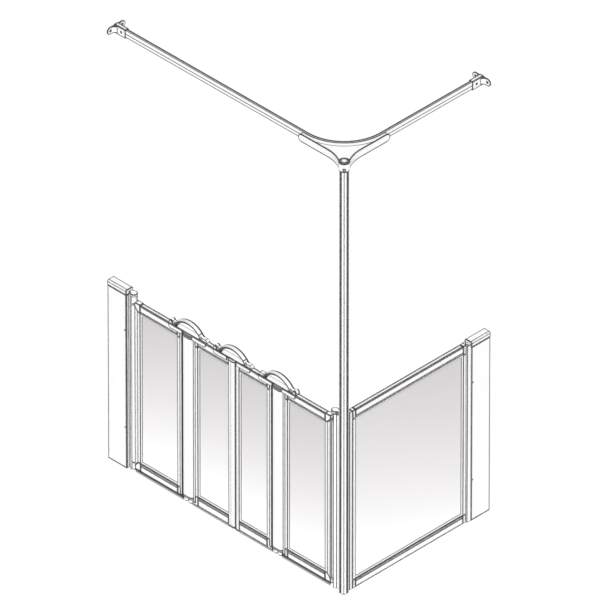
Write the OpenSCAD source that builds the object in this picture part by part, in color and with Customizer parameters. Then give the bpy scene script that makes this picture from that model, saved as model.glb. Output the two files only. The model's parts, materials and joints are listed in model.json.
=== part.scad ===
// Half-height corner shower screen: two pairs of folding door leaves, one fixed
// side panel, a tall corner post and a curtain rail braced to both walls.
// The origin is the foot of the corner post. The doors run along -X, the fixed
// panel runs along +Y, and the outside of the enclosure faces -Y and +X.

/* [Heights] */
// Height of the corner post and of the curtain rail's top face
post_h = 1886; // [1700:2:2100]
// Top of the door rails above the floor
rail_top = 748; // [700:2:900]
// Clearance between the door frames and the floor
floor_gap = 9; // [6:0.5:14]
// Extra height of the fixed panel over the doors
side_rise = 35; // [0:1:60]
// Extra height of the wall covers over the doors
cover_rise = 20; // [6:1:60]

/* [Door leaves] */
// Distance between the two pivots of the leaves beside the wall and the post
leaf_w = 272.2; // [240:0.2:360]
// Distance from the fold pivot to the nose of the leading leaf
lead_w = 226.5; // [200:0.5:320]
// Distance from the fold pivot to the edge of the receiving leaf
trail_w = 200.5; // [180:0.5:320]
// Thickness of the leaves and of the fixed panel
leaf_t = 20; // [18:0.5:24]
// Width of the upright frame profiles
stile_w = 28.5; // [24:0.5:34]
// Width of the upright that carries the meeting seal
slim_w = 17; // [15:0.5:24]
// Wall of every aluminium profile
skin = 1.8; // [1.4:0.1:2.2]
// Flat height of the top rails
top_flat = 31; // [26:1:40]
// Flat height of the bottom rails of the doors
base_flat = 34; // [28:1:44]
// Flat height of the bottom rail of the fixed panel
side_flat = 31; // [28:1:44]
// Height of the bevel beside the glazing
bevel_h = 8; // [5:0.5:11]
// Depth of the bevel on each face
bevel_d = 2.5; // [1:0.25:2.75]

/* [Glazing] */
// Thickness of the glazing sheet
glass_t = 5; // [4:0.5:6]
// Thickness of the gasket lip on each face of the glazing
lip_t = 3.5; // [2.5:0.25:3.5]
// Width of gasket that shows beside the frame
lip_show = 6.5; // [4:0.5:10]
// Depth of the glazing groove
groove_d = 9; // [7:0.5:10]
// Free edge left round the glazing inside its groove
glass_free = 2; // [1:0.5:3]

/* [Hinges] */
// Outer radius of the hinge barrels
barrel_r = 15; // [14:0.25:17]
// Radius of the bead that turns inside a barrel
bead_r = 8; // [7:0.25:9]
// Radial running clearance of a bead in its barrel
bead_fit = 0.05; // [0.03:0.01:0.09]
// Thickness of the neck between a bead and its upright
neck_t = 4; // [3:0.25:5]
// Distance between the two pivots of a fold link
link_pitch = 22.2; // [21.6:0.1:26]
// Length of each cap on a fold link
link_cap_h = 9; // [7:0.5:12]
// Distance from the rail top down to the top of the fold links
link_drop = 7.5; // [6:0.5:10]
// Distance from the leaf bottom up to the fold links
link_lift = 13; // [10:0.5:20]
// Angle through which each fold pivot turns
fold_angle = 85; // [60:1:86]
// Angle through which the doors swing outwards
swing_angle = 100; // [80:1:100]
// Radius of the screw port inside each bead
port_r = 2; // [1.5:0.25:2.5]

/* [Meeting joint] */
// Thickness of the black meeting seal
seal_w = 6.5; // [5:0.5:9]
// Clearance between the nose and the meeting seal
meet_gap = 0.5; // [0.4:0.1:2]

/* [Handles] */
// Distance from the middle of a handle loop to its pivot and to its resting end
loop_half = 91; // [88:1:104]
// Outer radius of the arched grip
arch_r = 86; // [84:0.2:88]
// Drop of the arch's centre below the rail top
arch_drop = 38; // [34:1:42]
// Offset of the arch from the middle of the loop towards the pivot
arch_shift = 4; // [0:0.5:6]
// Thickness of the arched grip, measured along its radius
grip_t = 12; // [10:0.5:14]
// Width of the handle across the door
grip_w = 22; // [18:0.5:22]
// Thickness of the bar that closes the loop
bar_t = 2; // [1.5:0.25:4]
// Thickness of the saddles' top plates
plate_t = 1.7; // [1.2:0.1:2]
// Clearance under a handle loop
loop_gap = 0.3; // [0.3:0.1:0.8]
// Height of the shoulders at both ends of a loop
shoulder_h = 11.5; // [9:0.5:13]
// Radius of the hollow between a shoulder and the arch
shoulder_r = 12; // [6:1:16]
// Offset of the fold handles from the middle of their link
handle_shift = 4.9; // [0:0.1:8]
// Offset of the middle handle from the nose of the leading leaf
meet_shift = 6.5; // [0:0.5:12]
// Radius of the knuckle at the pivot end
knuckle_r = 8; // [6.5:0.25:8.5]
// Radius of the handle pin
pin_r = 3; // [2:0.25:3.5]
// Radial running clearance of the handle on its pin
pin_fit = 0.05; // [0.03:0.01:0.09]
// Reach of a saddle's skirt down the face of the top rail
skirt_h = 17; // [12:1:20]
// Thickness of a saddle's skirt
skirt_t = 3; // [2:0.25:4]

/* [Corner post] */
// Outer radius of the corner post
post_r = 18.5; // [17:0.25:21]
// Radius of the bore through the post
post_bore_r = 11.5; // [9:0.25:12]
// Width of the four channels down the post
channel_w = 6; // [5:0.25:8]
// Depth of the four channels
channel_d = 4.5; // [3:0.25:5]
// Distance from the post axis to the pivot of the doors
post_pivot = 44.35; // [42:0.05:52]

/* [Walls] */
// Width of the wall covers
cover_w = 95.5; // [70:0.5:140]
// Thickness of the wall covers
cover_t = 34; // [32:0.5:40]
// Distance from the wall hinge pivot to its cover
wall_pivot = 22.5; // [21:0.5:30]
// Height of the cap on each wall cover
cap_h = 21; // [14:1:28]
// Overhang of the caps
cap_lap = 1.5; // [1:0.5:4]
// Radius of the rounded top edges of the caps
cap_edge = 7; // [3:0.5:9]
// Length of the legs of the wall channels and nesting profiles
leg_l = 36; // [24:1:42]
// Height of the lower cover screws
screw_low = 180; // [100:5:260]
// Height of the upper cover screws
screw_high = 609; // [500:1:680]
// Distance from a cover's inner edge to its screws
screw_in = 7.5; // [5:0.5:12]

/* [Fixed panel] */
// Distance from the post axis to the near edge of the fixed panel
side_start = 34; // [30:1:50]
// Distance from the post axis to the far edge of the fixed panel
side_end = 613; // [500:1:860]
// Width of the uprights of the fixed panel
side_stile_w = 15; // [14:0.5:24]
// Width of the nesting profile beside the wall cover
nest_w = 19; // [14:1:30]

/* [Curtain rail] */
// Height of the curtain rail
track_h = 31.6; // [26:0.2:36]
// Thickness of the curtain rail
track_t = 12; // [10:0.5:14]
// Distance from the post axis to the middle of the rail
track_in = 30.6; // [29:0.1:40]
// Radius of the bend, measured on the middle of the rail
bend_r = 184; // [160:1:240]
// Width of the glider slot under the rail
slot_w = 4; // [3:0.25:5]
// Length of each arm of the corner moulding
arm_l = 242; // [236:1:280]
// Wall of the corner moulding
arm_wall = 4; // [3:0.25:5]
// Radius of the concave sides of the corner moulding
cove_r = 146; // [130:1:170]
// Wall of the hub round the post
hub_wall = 2.3; // [2:0.1:5]

/* [Wall brackets] */
// Distance between the two fixing holes of a bracket
hole_pitch = 60; // [56:1:80]
// Radius of the fixing holes
hole_r = 2.75; // [2:0.25:3.5]
// Radius of the rounded ends of the bracket plate
ear_r = 15.5; // [12:0.5:16]
// Thickness of the bracket plate
plate_x = 4; // [3:0.25:6]
// Projection of the bracket socket from the wall
socket_l = 58; // [45:1:80]
// Wall of the bracket socket
socket_wall = 3; // [2:0.25:4]
// Radius of the concave webs of the bracket
web_r = 16; // [10:0.5:17]

/* [Hidden] */
$fn = 48;
eps = 0.01;
big = 60;

// Clearances and small features
end_gap = 0.3;
edge_gap = 0.5;
corner_r = 38;
corner_set = 9;
corner_lift = 8;
strip_w = 13;
crease_w = 0.8;
foot_h = 11;
seal_clear = 1.5;
seal_t = 1.8;
seal_w_y = leaf_t - 2;
half_t = leaf_t / 2;
bore_r = bead_r + bead_fit;
neck_room = neck_t / 2 + 0.4;
inner_flat = half_t - 1;
fin_t = 1.2;
sweep_r = barrel_r + edge_gap;
edge_d = sqrt(pow(sweep_r, 2) - pow(half_t, 2));
dish = sweep_r - edge_d;
fin_c = dish + skin;
fin_wall = fin_c + fin_t * sqrt(2);
gasket_t = glass_t + 2 * lip_t;
neck_low = 6;
screw_r = 3.2;
nose_r = half_t;

// Positions along the door run, measured from the post axis
post_x = -post_pivot;
fold_r1 = post_x - leaf_w;
fold_r2 = fold_r1 - link_pitch;
trail_x = fold_r2 - trail_w;
nose_x = trail_x - seal_w - meet_gap;
fold_l2 = nose_x - lead_w;
fold_l1 = fold_l2 - link_pitch;
wall_hx = fold_l1 - leaf_w;
cover_x = wall_hx - wall_pivot;
wall_x = cover_x - cover_w;

// Positions along the side run
side_cover = side_end + nest_w;
wall_y = side_cover + cover_w;

// Heights
side_top = rail_top + side_rise;
cover_top = rail_top + cover_rise;
corner_top = rail_top + 2;
top_rail_h = top_flat + bevel_h;
base_rail_h = base_flat + bevel_h;
link_z0 = floor_gap + link_lift + link_cap_h;
link_z1 = rail_top - link_drop - link_cap_h;
link_foot_r = min(link_pitch / 2 - end_gap, edge_d - edge_gap);
link_foot_z = seal_clear + 2;
hinge_rise = 20;
hinge_top = corner_top + hinge_rise;
hinge_base = 3;
hinge_cap_h = 11;
leg_drop = 4;
bead_clear = corner_r / 2;
bead_z0 = floor_gap + corner_lift + bead_clear;
bead_z1 = corner_top - bead_clear;
track_z0 = post_h - track_h;

// Handle places
handle_1_x = (fold_l1 + fold_l2) / 2 + handle_shift;
handle_2_x = nose_x - meet_shift;
handle_3_x = (fold_r1 + fold_r2) / 2 - handle_shift;
loop_z0 = rail_top + plate_t + loop_gap;
pin_z = loop_z0 + knuckle_r;
saddle_inset = 0.8;
far_u = link_pitch / 2 + edge_d - handle_shift + saddle_inset;
near_u = link_pitch / 2 + edge_d + handle_shift + saddle_inset;
tongue_w = grip_w - 9;
ear_w = 4;

// Extrusion along X of an outline drawn in Y and Z
module along_x(x0, x1) {
    translate([x0, 0, 0]) rotate([90, 0, 90]) linear_extrude(x1 - x0) children();
}

// Extrusion along Y of an outline drawn in X and Z
module along_y(y0, y1) {
    translate([0, y1, 0]) rotate([90, 0, 0]) linear_extrude(y1 - y0) children();
}

// Extrusion along Z of an outline drawn in plan
module upright(z0, z1) {
    translate([0, 0, z0]) linear_extrude(z1 - z0) children();
}

// Turns what is drawn for the door run into the side run
module side_run() {
    mirror([1, 1, 0]) children();
}

// Mirrors about the middle between the wall hinge and the post hinge
module mirror_doors() {
    translate([wall_hx + post_x, 0, 0]) mirror([1, 0, 0]) children();
}

// Box given by its two corners
module block(a, b) {
    translate(a) cube(b - a);
}

// Outline of a frame upright in plan: outer edge at 0 with a wall of edge_wall, glazing side at w
module stile_outline(w, edge_wall) {
    difference() {
        translate([0, -half_t]) square([w, leaf_t]);
        translate([edge_wall, skin - half_t])
            square([w - groove_d - skin - edge_wall, leaf_t - 2 * skin]);
        translate([w - groove_d, -gasket_t / 2]) square([groove_d + eps, gasket_t]);
    }
}

// Upright with its edge at x0, glazing towards +X
module stile(x0, w, z0, z1, edge_wall = skin) {
    translate([x0, 0, 0]) upright(z0, z1) stile_outline(w, edge_wall);
}

// Outer corner that a fin seal takes off an upright whose fold pivot is at the origin, leaf towards +X
module fin_corner(c, z0, z1) {
    upright(z0, z1) polygon([[0, -half_t], [edge_d + c, -half_t], [edge_d, c - half_t], [0, c - half_t]]);
}

// Fin seal on the bevelled edge of an upright beside its fold barrel
module fin_seal() {
    z0 = floor_gap + foot_h;
    z1 = rail_top - foot_h;
    difference() {
        fin_corner(fin_wall, z0, z1);
        fin_corner(fin_c, z0 - 1, z1 + 1);
        pivot_room();
    }
}

// Room round a pivot, which dishes the edge of a leaf so that it wraps round the barrel
module pivot_room() {
    cylinder(r = sweep_r, h = post_h);
}

// Crease down both faces of a door upright, beside the strip of its fold mouldings
module creases(x) {
    for (y = [-half_t, half_t]) translate([x, y, 0]) upright(0, rail_top) square(crease_w, center = true);
}

// Bead and neck that hang an upright in a barrel whose pivot is at the origin
module bead(z0, z1) {
    difference() {
        union() {
            translate([0, 0, z0]) cylinder(r = bead_r, h = z1 - z0);
            block([0, -neck_t / 2, z0], [sweep_r + eps, neck_t / 2, z1]);
        }
        translate([0, 0, z0 - 1]) cylinder(r = port_r, h = z1 - z0 + 2);
    }
}

// Room that a neck sweeps in a barrel, from direction a0 round to a1
module neck_sweep(a0, a1) {
    mid = (a0 + a1) / 2;
    polygon([
        neck_room * [sin(a0), -cos(a0)],
        neck_room * [sin(a0), -cos(a0)] + big * [cos(a0), sin(a0)],
        2 * big * [cos(mid), sin(mid)],
        neck_room * [-sin(a1), cos(a1)] + big * [cos(a1), sin(a1)],
        neck_room * [-sin(a1), cos(a1)]
    ]);
}

// Round corner moulding at a hinge upright, top (up = 1) or bottom (up = -1)
module hinge_corner(x_edge, x_in, z_end, up) {
    z_mid = up > 0 ? z_end : z_end + corner_lift;
    intersection() {
        union() {
            translate([x_in + corner_set, half_t, z_mid]) rotate([90, 0, 0])
                cylinder(r = corner_r, h = leaf_t, $fn = 96);
            if (up < 0) block([x_edge, -half_t, z_end], [x_in, half_t, z_mid]);
        }
        if (up > 0) block([x_edge, -half_t, z_end - corner_r], [x_in, half_t, z_end]);
        else block([x_edge, -half_t, z_end], [x_in, half_t, z_mid + corner_r]);
    }
}

// Corner moulding at a fold upright: a foot over the full width and a rounded strip
module fold_corner(x_edge, x_in, z_end, up, reach) {
    s = sign(x_edge - x_in);
    z_foot = z_end - up * foot_h;
    z_tip = z_end - up * reach;
    z_round = z_tip + up * strip_w / 2;
    xa = min(x_in, x_in + s * strip_w);
    xb = max(x_in, x_in + s * strip_w);
    block(
        [min(x_edge, x_in), -half_t, min(z_end, z_foot)],
        [max(x_edge, x_in), half_t, max(z_end, z_foot)]
    );
    block([xa, -half_t, min(z_foot, z_round)], [xb, half_t, max(z_foot, z_round)]);
    translate([(xa + xb) / 2, half_t, z_round]) rotate([90, 0, 0]) cylinder(r = strip_w / 2, h = leaf_t);
}

// Outline of a top rail in Y and Z, its top face at 0
module top_rail_outline() {
    difference() {
        polygon([
            [-half_t, 0], [half_t, 0], [half_t, -top_flat],
            [half_t - bevel_d, -top_rail_h], [-half_t + bevel_d, -top_rail_h], [-half_t, -top_flat]
        ]);
        translate([-half_t + skin, -(top_rail_h - groove_d - skin)])
            square([leaf_t - 2 * skin, top_rail_h - groove_d - 2 * skin]);
        translate([-gasket_t / 2, -top_rail_h - eps]) square([gasket_t, groove_d + eps]);
    }
}

// Outline of a bottom rail in Y and Z, its lower face at 0
module base_rail_outline(flat) {
    h = flat + bevel_h;
    difference() {
        polygon([
            [-half_t, 0], [half_t, 0], [half_t, flat],
            [half_t - bevel_d, h], [-half_t + bevel_d, h], [-half_t, flat]
        ]);
        translate([-half_t + skin, skin])
            square([leaf_t - 2 * skin, h - groove_d - 2 * skin]);
        translate([-gasket_t / 2, h - groove_d]) square([gasket_t, groove_d + eps]);
    }
}

// Pair of rails between two uprights
module rails(x0, x1, z0, z1, flat) {
    along_x(x0, x1) translate([0, z1]) top_rail_outline();
    along_x(x0, x1) translate([0, z0]) base_rail_outline(flat);
}

// Glazing sheet whose visible frame opening is x0 to x1 and z0 to z1
module glazing(x0, x1, z0, z1) {
    g = groove_d - glass_free;
    block([x0 - g, -glass_t / 2, z0 - g], [x1 + g, glass_t / 2, z1 + g]);
}

// Space that the gasket takes in the grooves of a frame
module groove_room(x0, x1, z0, z1) {
    g = groove_d;
    block([x0 - g, -gasket_t / 2, z0 - g], [x1 + g, gasket_t / 2, z1 + g]);
}

// Gasket that lines the groove and laps the glazing on both faces
module gasket(x0, x1, z0, z1) {
    g = groove_d;
    p = lip_show;
    difference() {
        groove_room(x0, x1, z0, z1);
        block([x0 + p, -half_t, z0 + p], [x1 - p, half_t, z1 - p]);
        glazing(x0, x1, z0, z1);
    }
}

// Wiper seal under a leaf
module base_seal(x0, x1) {
    difference() {
        block([x0, -seal_w_y / 2, seal_clear], [x1, seal_w_y / 2, floor_gap]);
        block(
            [x0 - 1, -seal_w_y / 2 + seal_t, seal_clear - 1],
            [x1 + 1, seal_w_y / 2 - seal_t, floor_gap - seal_t]
        );
    }
}

// Leaf between the wall hinge and the fold link
leaf_edge_a = wall_hx + edge_d;
leaf_in_a = leaf_edge_a + stile_w;
leaf_edge_b = fold_l1 - edge_d;
leaf_in_b = leaf_edge_b - stile_w;
glass_z0 = floor_gap + base_rail_h;
glass_z1 = rail_top - top_rail_h;

// Places what is drawn with its fold pivot at the origin at the fold of the outer leaf
module outer_fold() {
    translate([fold_l1, 0, 0]) mirror([1, 0, 0]) children();
}

module outer_corner_blocks() {
    difference() {
        union() {
            hinge_corner(leaf_edge_a, leaf_in_a, corner_top, 1);
            hinge_corner(leaf_edge_a, leaf_in_a, floor_gap, -1);
            fold_corner(leaf_edge_b, leaf_in_b, rail_top, 1, top_rail_h);
            fold_corner(leaf_edge_b, leaf_in_b, floor_gap, -1, base_rail_h);
        }
        translate([wall_hx, 0, 0]) pivot_room();
        translate([fold_l1, 0, 0]) pivot_room();
    }
}

module outer_stiles() {
    difference() {
        union() {
            stile(leaf_edge_a, stile_w, floor_gap, rail_top, dish + skin);
            translate([leaf_edge_b, 0, 0]) mirror([1, 0, 0])
                stile(0, stile_w, floor_gap, rail_top, fin_wall);
        }
        outer_corner_blocks();
        translate([wall_hx, 0, 0]) pivot_room();
        translate([fold_l1, 0, 0]) pivot_room();
        outer_fold() fin_corner(fin_wall, floor_gap + foot_h, rail_top - foot_h);
        creases(leaf_in_a - strip_w);
        creases(leaf_in_b + strip_w);
    }
    translate([wall_hx, 0, 0]) bead(bead_z0, bead_z1);
    outer_fold() bead(link_z0 + end_gap, link_z1 - end_gap);
}

module outer_corners() {
    difference() {
        outer_corner_blocks();
        groove_room(leaf_in_a, leaf_in_b, glass_z0, glass_z1);
    }
}

module outer_seals() {
    gasket(leaf_in_a, leaf_in_b, glass_z0, glass_z1);
    base_seal(wall_hx + sweep_r + edge_gap, leaf_edge_b);
    outer_fold() fin_seal();
}

module outer_rails() {
    rails(leaf_in_a, leaf_in_b, floor_gap, rail_top, base_flat);
}

module outer_glazing() {
    glazing(leaf_in_a, leaf_in_b, glass_z0, glass_z1);
}

module door_1_stiles() { color("white") outer_stiles(); }
module door_1_rails() { color("white") outer_rails(); }
module door_1_corners() { color("gainsboro") outer_corners(); }
module door_1_glazing() { color("lightgray") outer_glazing(); }
module door_1_seals() { color("dimgray") outer_seals(); }

module door_4_stiles() { color("white") mirror_doors() outer_stiles(); }
module door_4_rails() { color("white") mirror_doors() outer_rails(); }
module door_4_corners() { color("gainsboro") mirror_doors() outer_corners(); }
module door_4_glazing() { color("lightgray") mirror_doors() outer_glazing(); }
module door_4_seals() { color("dimgray") mirror_doors() outer_seals(); }

// Upright, bead and fold mouldings at the pivot side of a middle leaf, pivot at x = 0
mid_in = edge_d + stile_w;

module middle_corner_blocks() {
    difference() {
        union() {
            fold_corner(edge_d, mid_in, rail_top, 1, top_rail_h);
            fold_corner(edge_d, mid_in, floor_gap, -1, base_rail_h);
        }
        pivot_room();
    }
}

module middle_stile() {
    difference() {
        stile(edge_d, stile_w, floor_gap, rail_top, fin_wall);
        middle_corner_blocks();
        pivot_room();
        fin_corner(fin_wall, floor_gap + foot_h, rail_top - foot_h);
        creases(mid_in - strip_w);
    }
    bead(link_z0 + end_gap, link_z1 - end_gap);
}

module middle_corners() {
    difference() {
        middle_corner_blocks();
        groove_room(mid_in, mid_in + stile_w, glass_z0, glass_z1);
    }
}

// Leading leaf, drawn with its fold pivot at x = 0
nose_in = lead_w - stile_w;
nose_cap = 12;
nose_foot = 2;

module nose_outline() {
    translate([lead_w - nose_r, 0]) circle(r = nose_r);
    translate([nose_in, -half_t]) square([stile_w - nose_r, leaf_t]);
}

module nose_stile() {
    difference() {
        upright(floor_gap, rail_top - nose_cap) nose_outline();
        translate([lead_w - nose_r, 0, 0]) cylinder(r = nose_r - skin, h = rail_top);
        block([nose_in + groove_d + skin, skin - half_t, 0], [lead_w - nose_r, half_t - skin, rail_top]);
        block([nose_in - eps, -gasket_t / 2, 0], [nose_in + groove_d, gasket_t / 2, rail_top]);
    }
}

module nose_caps() {
    upright(rail_top - nose_cap, rail_top) nose_outline();
    upright(nose_foot, floor_gap) nose_outline();
}

module door_2_stiles() {
    color("white") translate([fold_l2, 0, 0]) {
        middle_stile();
        nose_stile();
    }
}

module door_2_rails() {
    color("white") translate([fold_l2, 0, 0]) rails(mid_in, nose_in, floor_gap, rail_top, base_flat);
}

module door_2_corners() {
    color("gainsboro") translate([fold_l2, 0, 0]) {
        middle_corners();
        nose_caps();
    }
}

module door_2_glazing() {
    color("lightgray") translate([fold_l2, 0, 0]) glazing(mid_in, nose_in, glass_z0, glass_z1);
}

module door_2_seals() {
    color("dimgray") translate([fold_l2, 0, 0]) {
        gasket(mid_in, nose_in, glass_z0, glass_z1);
        base_seal(edge_d, nose_in);
        fin_seal();
    }
}

// Receiving leaf, drawn with its fold pivot at x = 0 and mirrored into place
slim_in = trail_w - slim_w;

module slim_stile() {
    difference() {
        block([slim_in, -half_t, floor_gap], [trail_w, half_t, rail_top - nose_cap]);
        block([slim_in + groove_d + skin, skin - half_t, 0], [trail_w - skin, half_t - skin, rail_top]);
        block([slim_in - eps, -gasket_t / 2, 0], [slim_in + groove_d, gasket_t / 2, rail_top]);
    }
}

module receiving() {
    translate([fold_r2, 0, 0]) mirror([1, 0, 0]) children();
}

module door_3_stiles() {
    color("white") receiving() {
        middle_stile();
        slim_stile();
    }
}

module door_3_rails() {
    color("white") receiving() rails(mid_in, slim_in, floor_gap, rail_top, base_flat);
}

module door_3_corners() {
    color("gainsboro") receiving() {
        middle_corners();
        block([slim_in, -half_t, rail_top - nose_cap], [trail_w, half_t, rail_top]);
        block([slim_in, -half_t, nose_foot], [trail_w, half_t, floor_gap]);
    }
}

module door_3_glazing() {
    color("lightgray") receiving() glazing(mid_in, slim_in, glass_z0, glass_z1);
}

module door_3_seals() {
    color("dimgray") receiving() {
        gasket(mid_in, slim_in, glass_z0, glass_z1);
        base_seal(edge_d, slim_in);
        fin_seal();
    }
}

// Hollow black seal on the edge of the receiving leaf
module meeting_seal() {
    color("black") receiving() difference() {
        block([trail_w, -half_t + 2, nose_foot], [trail_w + seal_w, half_t - 2, rail_top - 1]);
        block(
            [trail_w + seal_t, -half_t + 2 + seal_t, 0],
            [trail_w + seal_w - seal_t, half_t - 2 - seal_t, rail_top]
        );
    }
}

// Fold link: two barrels side by side, open towards the two necks
module link_outline() {
    intersection() {
        union() {
            circle(r = barrel_r);
            translate([link_pitch, 0]) circle(r = barrel_r);
            translate([0, -barrel_r]) square([link_pitch, 2 * barrel_r]);
        }
        translate([-big, -big]) square([2 * big + link_pitch, big + inner_flat]);
    }
}

module link_profile() {
    difference() {
        upright(link_z0, link_z1) link_outline();
        translate([0, 0, link_z0 - 1]) cylinder(r = bore_r, h = link_z1 - link_z0 + 2);
        translate([link_pitch, 0, link_z0 - 1]) cylinder(r = bore_r, h = link_z1 - link_z0 + 2);
        upright(link_z0 - 1, link_z1 + 1) neck_sweep(180 - fold_angle, 180);
        translate([link_pitch, 0, 0]) upright(link_z0 - 1, link_z1 + 1) neck_sweep(0, fold_angle);
    }
}

// Caps that close both ends of a fold link, the lower one with a round foot under each barrel
module link_caps() {
    upright(link_z1, link_z1 + link_cap_h) link_outline();
    upright(link_z0 - link_cap_h, link_z0) link_outline();
    for (x = [0, link_pitch])
        translate([x, 0, link_foot_z]) cylinder(r = link_foot_r, h = link_z0 - link_cap_h - link_foot_z);
}

module link_left_profile() { color("white") translate([fold_l1, 0, 0]) link_profile(); }
module link_left_caps() { color("gainsboro") translate([fold_l1, 0, 0]) link_caps(); }
module link_right_profile() { color("white") translate([fold_r2, 0, 0]) link_profile(); }
module link_right_caps() { color("gainsboro") translate([fold_r2, 0, 0]) link_caps(); }

// Fixed hinge barrel, pivot at the origin, leaf towards +X and mounting towards -X
module hinge_barrel(z0, z1, neck_x) {
    difference() {
        union() {
            translate([0, 0, z0]) cylinder(r = barrel_r, h = z1 - z0);
            block([-neck_x, -neck_low, z0], [0, inner_flat, z1]);
        }
        translate([0, 0, z0 - 1]) cylinder(r = bore_r, h = z1 - z0 + 2);
        upright(z0 - 1, z1 + 1) neck_sweep(-swing_angle, 0);
    }
}

// Cap over a fixed hinge barrel, and the bush below the bead that carries the leaf
module hinge_caps(neck_x) {
    translate([0, 0, hinge_top]) cylinder(r = barrel_r, h = hinge_cap_h);
    block([-neck_x, -neck_low, hinge_top], [0, inner_flat, hinge_top + hinge_cap_h]);
    translate([0, 0, hinge_base]) cylinder(r = bore_r, h = bead_z0 - end_gap - hinge_base);
}

// Legs and web that nest inside a wall cover whose inner edge is at x = 0
nest_t = cover_t - 2 * skin - 0.2;

module nesting_legs(z0, z1) {
    difference() {
        block([-leg_l, -nest_t / 2, z0], [skin, nest_t / 2, z1]);
        block([-leg_l - 1, -nest_t / 2 + skin, z0 - 1], [0, nest_t / 2 - skin, z1 + 1]);
        for (z = [screw_low, screw_high])
            translate([-screw_in, 0, z]) rotate([90, 0, 0]) cylinder(r = screw_r / 2, h = cover_t);
    }
}

module wall_hinge_profile() {
    color("white") {
        translate([wall_hx, 0, 0]) hinge_barrel(hinge_base, hinge_top, wall_pivot - skin);
        translate([cover_x, 0, 0]) nesting_legs(hinge_base, cover_top - leg_drop);
    }
}

module wall_hinge_caps() { color("gainsboro") translate([wall_hx, 0, 0]) hinge_caps(wall_pivot - skin); }

// Tongue that keys the post hinge and the side profile into the post's channels
tongue_t = channel_w - 0.4;
tongue_d = channel_d - 0.5;
shoe_x = post_r + 2;

module post_hinge_profile() {
    color("white") {
        translate([post_x, 0, 0]) mirror([1, 0, 0])
            hinge_barrel(hinge_base, hinge_top, post_pivot - shoe_x);
        post_shoe(hinge_base, hinge_top);
    }
}

// Saddle against the round post, drawn on its door side
module post_shoe(z0, z1) {
    difference() {
        block([-shoe_x, -neck_low, z0], [-post_r + 3, inner_flat, z1]);
        translate([0, 0, z0 - 1]) cylinder(r = post_r, h = z1 - z0 + 2, $fn = 96);
    }
    block([-post_r - 1, -tongue_t / 2, z0], [-post_r + tongue_d, tongue_t / 2, z1]);
}

module post_hinge_caps() {
    color("gainsboro") translate([post_x, 0, 0]) mirror([1, 0, 0]) hinge_caps(post_pivot - shoe_x);
}

// Round post with four channels and a scribed line between each pair
module corner_post() {
    color("white") difference() {
        cylinder(r = post_r, h = post_h, $fn = 96);
        translate([0, 0, -1]) cylinder(r = post_bore_r, h = post_h + 2);
        for (a = [0:90:270]) rotate(a) {
            block([post_r - channel_d, -channel_w / 2, -1], [post_r + 1, channel_w / 2, post_h + 1]);
            rotate(45) block([post_r - 0.5, -0.4, -1], [post_r + 1, 0.4, post_h + 1]);
        }
    }
}

// Plug that closes the top of the post
plug_h = 2;
plug_inset = 1.5;
plug_l = 18;

module post_top_plug() {
    color("dimgray") {
        translate([0, 0, post_h]) cylinder(r = post_r - plug_inset, h = plug_h);
        translate([0, 0, post_h - plug_l]) cylinder(r = post_bore_r, h = plug_l);
    }
}

// Closed foot plug inside the post, hollow from above
foot_h_plug = 22;
foot_floor = 4;
foot_wall = 2.5;

module post_foot() {
    color("gray") difference() {
        cylinder(r = post_bore_r, h = foot_h_plug);
        translate([0, 0, foot_floor]) cylinder(r = post_bore_r - foot_wall, h = foot_h_plug);
    }
}

// Wall cover: an H section, one side over the wall channel, the other over a nesting profile
module wall_cover(edge, wall) {
    web_x = edge - leg_l - 2;
    difference() {
        block([wall, -cover_t / 2, 0], [edge, cover_t / 2, cover_top]);
        block([web_x, -cover_t / 2 + skin, -1], [edge + 1, cover_t / 2 - skin, cover_top + 1]);
        block([wall - 1, -cover_t / 2 + skin, -1], [web_x - skin, cover_t / 2 - skin, cover_top + 1]);
        for (z = [screw_low, screw_high])
            translate([edge - screw_in, 0, z]) rotate([90, 0, 0])
                cylinder(r = screw_r / 2, h = cover_t);
    }
}

// Channel that is screwed to the wall inside a cover
channel_screw_in = 100;
channel_screw_r = 2.5;

module wall_channel(edge, wall) {
    difference() {
        block([wall, -nest_t / 2, 0], [edge - leg_l - 4 - skin, nest_t / 2, cover_top - 1]);
        block([wall + skin, -nest_t / 2 + skin, -1], [edge, nest_t / 2 - skin, cover_top]);
        for (z = [channel_screw_in, cover_top / 2, cover_top - channel_screw_in])
            translate([wall - 1, 0, z]) rotate([0, 90, 0]) cylinder(r = channel_screw_r, h = skin + 2);
    }
}

module wall_cap(edge, wall) {
    w = cover_t + 2 * cap_lap;
    along_x(wall, edge + cap_lap) {
        translate([-w / 2, cover_top]) square([w, cap_h - cap_edge]);
        translate([-w / 2 + cap_edge, cover_top]) square([w - 2 * cap_edge, cap_h]);
        for (s = [-1, 1])
            translate([s * (w / 2 - cap_edge), cover_top + cap_h - cap_edge]) circle(r = cap_edge);
    }
}

// Two screws that hold a nesting profile in its cover
screw_head_h = 1.2;
screw_l = 5;

module cover_screw_pair(edge) {
    for (z = [screw_low, screw_high]) translate([edge - screw_in, -cover_t / 2, z]) rotate([90, 0, 0]) {
        cylinder(r = screw_r, h = screw_head_h);
        translate([0, 0, -screw_l]) cylinder(r = screw_r / 2, h = screw_l + eps);
    }
}

module wall_channel_left() { color("silver") wall_channel(cover_x, wall_x); }
module wall_channel_right() { color("silver") side_run() wall_channel(-side_cover, -wall_y); }
module wall_cover_left() { color("white") wall_cover(cover_x, wall_x); }
module wall_cover_right() { color("white") side_run() wall_cover(-side_cover, -wall_y); }
module wall_cap_left() { color("gainsboro") wall_cap(cover_x, wall_x); }
module wall_cap_right() { color("gainsboro") side_run() wall_cap(-side_cover, -wall_y); }

module cover_screws() {
    color("dimgray") {
        cover_screw_pair(cover_x);
        side_run() cover_screw_pair(-side_cover);
    }
}

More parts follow.
